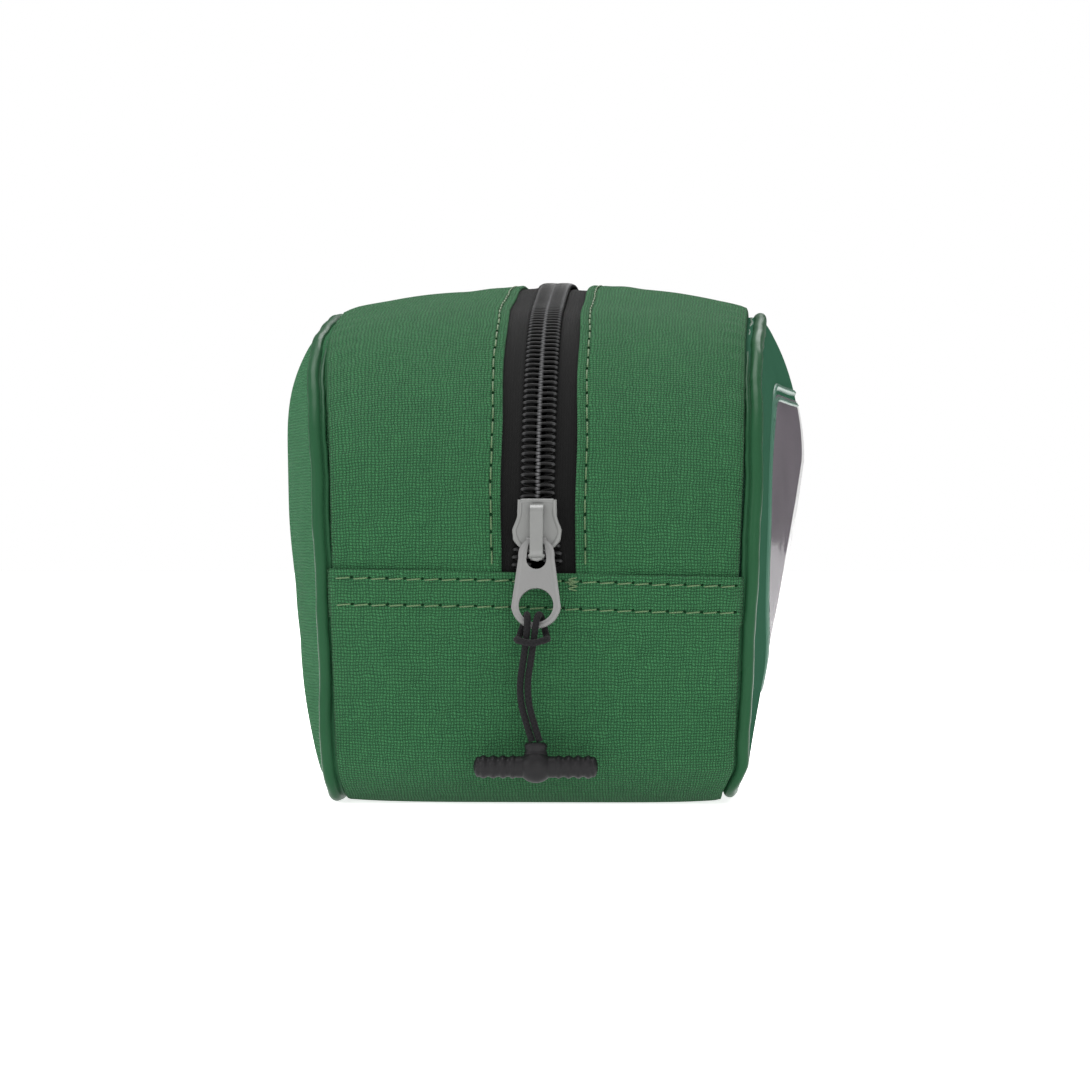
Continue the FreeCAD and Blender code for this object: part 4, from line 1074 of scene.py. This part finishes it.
# ---- slider and pull

RIM_SIDES = 14


def slider_point(x, up, out):
    """A point given in the slider's own frame."""
    sine, cosine = math.sin(SLIDER_ANGLE), math.cos(SLIDER_ANGLE)
    x, up, out = np.broadcast_arrays(np.asarray(x, float), up, out)
    return np.stack([x, ARC_CENTRE.y + up * sine - out * cosine,
                     ARC_CENTRE.z + up * cosine + out * sine], axis=-1)


def bevelled_node(name, width, material):
    """A CAD node that stays, with its edges eased and a new finish."""
    node = frame["nodes"][name]
    node.data.materials.clear()
    node.data.materials.append(material)
    if width:
        ease = node.modifiers.new("eased_edges", "BEVEL")
        ease.width = width * MM
        ease.segments = 3
        ease.limit_method = "ANGLE"
        ease.angle_limit = math.radians(35)
        ease.harden_normals = True


def rim_piece(name, line, closed, radius, flatness, level, body, material):
    """A raised rim: a bead along a line in the slider's frame, flattened against its face."""
    centres = slider_point(line[:, 0], line[:, 1], level)
    radii = radius if closed else tapered(len(line), radius)
    face_out = slider_point(0, 0, 1) - slider_point(0, 0, 0)
    points, faces, layout = tube(centres, radii, RIM_SIDES, up=face_out, closed=closed)
    height = (points - slider_point(0, 0, level)) @ face_out
    points = points - (1 - flatness) * height[:, None] * face_out
    tube_piece(name, [(points, faces, layout)], material, body)


def arc_line(centre_up, radius, first, last, count):
    """Points on an arc about the tab's middle line, between two angles in degrees."""
    turn = np.radians(np.linspace(first, last, count))
    return np.stack([radius * np.cos(turn), centre_up + radius * np.sin(turn)], axis=1)


TAB_TOP_EDGE = -2.3
TAB_TOP_RADIUS = 3.5
TAB_BASE_RADIUS = 4.83
TAB_LENGTH = 17.8
TAB_BORDER = 0.55


def tab_border(material):
    """The flat raised border down both sides of the tab and round its end."""
    upper = TAB_TOP_EDGE - TAB_TOP_RADIUS
    lower = TAB_TOP_EDGE - TAB_LENGTH + TAB_BASE_RADIUS
    border = np.concatenate([arc_line(upper, TAB_TOP_RADIUS - TAB_BORDER, 188, -8, 34),
                             arc_line(lower, TAB_BASE_RADIUS - TAB_BORDER, -8, -172, 36)])
    rim_piece("pull_tab_border", border, True, TAB_BORDER, 0.40, PIVOT_LEVEL + 0.38, "pull_tab", material)


def slider_rims(material):
    """The slider plate's soft edge, and the lip that the cap's nose rests on."""
    half = [(2.6, 5.0), (3.1, 4.92), (3.3, 4.6), (3.3, 3.6), (3.34, 2.4), (3.7, 1.0), (4.25, -0.4),
            (4.32, -1.2), (3.95, -2.4), (3.2, -3.6), (1.8, -4.5)]
    border = smooth_line(half + [(0, -4.8)] + [(-x, y) for x, y in reversed(half)], 5, closed=True)
    rim_piece("slider_plate_edge", border, True, 0.42, 0.45, SLIDER_TOP - 0.06, "slider", material)
    lip = smooth_line([(-1.4, -5.5), (-0.85, -6.15), (0, -6.45), (0.85, -6.15), (1.4, -5.5)], 5)
    rim_piece("slider_cap_lip", lip, False, 0.55, 1.0, PIVOT_LEVEL + 0.1, "slider", material)


# The cord's route as X, Y and Z in mm from the middle of the ring's bar, foot to foot.
CORD_HALF = 0.725
CORD_FOOT = -22.218
CORD_RISING = [
    (0.0, -0.6, CORD_FOOT), (-1.0, -0.8, CORD_FOOT + 3.2), (-2.1, -1.3, CORD_FOOT + 7.2),
    (-2.3, -1.7, CORD_FOOT + 11.4), (-1.5, -2.0, -6.0), (-0.9, -1.9, -1.6), (-0.8, -1.5, 2.1),
    (-1.2, 1.6, 2.2), (-2.6, 1.6, -2.6), (-3.1, -3.3, -2.6),
]
CORD_FALLING = [
    (-1.3, -3.75, -3.45), (1.7, -3.5, -2.5), (1.4, 1.6, -2.6), (0.2, 1.6, 2.2), (-0.4, -1.5, 2.1),
    (-0.9, -1.9, -1.6), (-1.5, -2.0, -6.0), (-2.3, -1.7, CORD_FOOT + 11.4), (-2.1, -1.3, CORD_FOOT + 7.2),
    (-1.0, -0.8, CORD_FOOT + 3.2), (0.0, -0.6, CORD_FOOT),
]
CORD_DIAMETER = 0.0013


def cord_line():
    """The route's smooth spline, as the points that it passes through, in metres."""
    route = [(x - CORD_HALF, y, z) for x, y, z in CORD_RISING]
    route += [(x + CORD_HALF, y, z) for x, y, z in CORD_FALLING]
    curve = bpy.data.curves.new("pull_cord_route", "CURVE")
    curve.dimensions = "3D"
    curve.resolution_u = 10
    spline = curve.splines.new("NURBS")
    spline.points.add(len(route) - 1)
    for point, place in zip(spline.points, route):
        point.co = (*((RING_BAR + Vector(place)) * MM), 1)
    spline.order_u = 3
    spline.use_endpoint_u = True
    thing = placed("pull_cord_route", curve)
    bpy.context.view_layer.update()
    mesh = bpy.data.meshes.new_from_object(thing.evaluated_get(bpy.context.evaluated_depsgraph_get()))
    points = [tuple(vertex.co) for vertex in mesh.vertices]
    bpy.data.objects.remove(thing)
    return points


def pull_cord(material):
    """The doubled braid, from one foot in the toggle round the tab's ring to the other."""
    path = cord_line()
    braid = tube(np.array(path) / MM, CORD_DIAMETER / MM / 2, 16)
    piece = tube_piece("pull_cord_braid", [braid], material, "pull_cord")
    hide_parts("pull_cord")


TOGGLE_HEIGHT = 8
TOGGLE_HALF = 12
TOGGLE_RADIUS = 2.2
HUB_RADIUS = 3.1
COLLAR_FLATNESS = 0.72


def toggle(material):
    """A ribbed bar with a round hub, and a collar that grips both ends of the cord."""
    x = np.linspace(-TOGGLE_HALF, TOGGLE_HALF, 241)
    past = np.abs(x)
    ribbed = smooth(3.4, 4.2, past) * (1 - smooth(10.8, 11.3, past))
    ribs = 0.17 * np.cos((past - 4.4) * 2 * PI / 1.9) * ribbed
    radius = TOGGLE_RADIUS - 0.12 + ribs
    hub = np.sqrt(np.clip(1 - (past / 3.35) ** 2, 0, 1)) * HUB_RADIUS
    radius = np.maximum(radius * smooth(2.0, 2.8, past) + 2.0 * (1 - smooth(2.0, 2.8, past)), hub)
    tip = np.sqrt(np.clip(1 - (np.clip(past - 10.9, 0, None) / 1.1) ** 2, 0.0001, 1))
    centre_y = RING_BAR.y - 0.6
    line = np.stack([x, np.full_like(x, centre_y), np.full_like(x, TOGGLE_HEIGHT)], axis=1)
    bar = tube(line, radius * tip, 40, up=np.array([0.0, 0.0, 1.0]))
    levels = np.array([9.0, 9.4, 10.2, 10.9, 11.0, 11.2, 11.9, 12.1, 12.2, 12.5, 12.68, 12.7, 12.7])
    widths = np.array([2.3, 2.3, 2.25, 2.2, 2.05, 2.05, 2.2, 2.2, 2.15, 2.0, 1.7, 1.0, 0.02])
    levels = levels + np.arange(len(levels)) * 0.0005
    column = np.stack([0 * levels, np.full_like(levels, centre_y), levels], axis=1)
    collar, faces, layout = tube(column, widths, 32, up=np.array([0.0, 1.0, 0.0]))
    collar[:, 1] = centre_y + (collar[:, 1] - centre_y) * COLLAR_FLATNESS
    piece = tube_piece("toggle_bar", [bar, (collar, faces, layout)], material, "pull_cord")
    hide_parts("toggle")
    return piece


# ---- the whole bag

def colour(red, green, blue, gain=1.0):
    """Linear colour from 0 to 255 display values."""
    return tuple((((c / 255 + 0.055) / 1.055) ** 2.4) * gain for c in (red, green, blue))


def make_bag():
    cloth = woven("woven_green", colour(50, 101, 65, 0.74), contrast=0.9)
    side_cloth = woven("woven_green_side", colour(53, 102, 69, 0.9), contrast=0.4, sheen=0.02, specular=0.03)
    panel_vinyl = vinyl("vinyl_green", colour(46, 82, 64, 0.88), roughness=0.36, specular=0.0)
    piping_vinyl = vinyl("piping_green", colour(38, 79, 52, 0.77), roughness=0.3, specular=0.05)
    tape = tape_weave("tape_black", colour(15, 15, 15))
    thread = thread_finish("thread_olive", colour(72, 101, 58))
    # Painted shade: the dark colour that stands for the shade inside the needle holes.
    shadow = vinyl("needle_hole_shade", colour(14, 36, 20), roughness=0.8, specular=0.0)
    coil = coil_nylon("coil_black")
    grey = painted("slider_grey", colour(103, 104, 102))
    pale_grey = painted("pull_tab_grey", colour(103, 103, 102))
    black = moulded("toggle_black", colour(17, 16, 18))

    lower_strip(cloth)
    for word, side in SIDES:
        upper_strip(word, side, cloth)
        piping(word, side, piping_vinyl)
        zip_tape(word, side, tape)
        zip_coil(word, side, coil)
        stitching(f"zip_{word}", f"thread_zip_{word}", [partial(zip_row, side)], thread, shadow)
    side_panel("left", LEFT_PANEL, side_cloth)
    side_panel("right", RIGHT_PANEL, panel_vinyl)
    for word, end in (("front", -1), ("rear", 1)):
        rows = [partial(seam_row, end, FIRST_ROW), partial(seam_row, end, SECOND_ROW)]
        stitching(f"seam_{word}", f"thread_{word}_seam", rows, thread, shadow)
    back_tack(thread)
    window_fill("window_insert", "window_backing", 0.5, 0.6, printed_card("insert_grey"))
    window_fill("window_clear_sheet", "window_sheet", 0.75, 1.0, clear_vinyl("clear_vinyl"))
    window_rim(vinyl("rim_vinyl", colour(62, 98, 82), roughness=0.25, specular=0.06))

    bevelled_node("slider_body", 0.18, grey)
    bevelled_node("slider_cap", 0.35, grey)
    bevelled_node("pull_tab", 0.2, pale_grey)
    bevelled_node("lock_spring", 0, brushed("spring_steel"))
    tab_border(pale_grey)
    slider_rims(grey)
    end_piece = toggle(black)
    pull_cord(braided("cord_black", colour(15, 14, 16)))


make_camera()
make_lamps()
make_room()
make_floor()
make_bag()
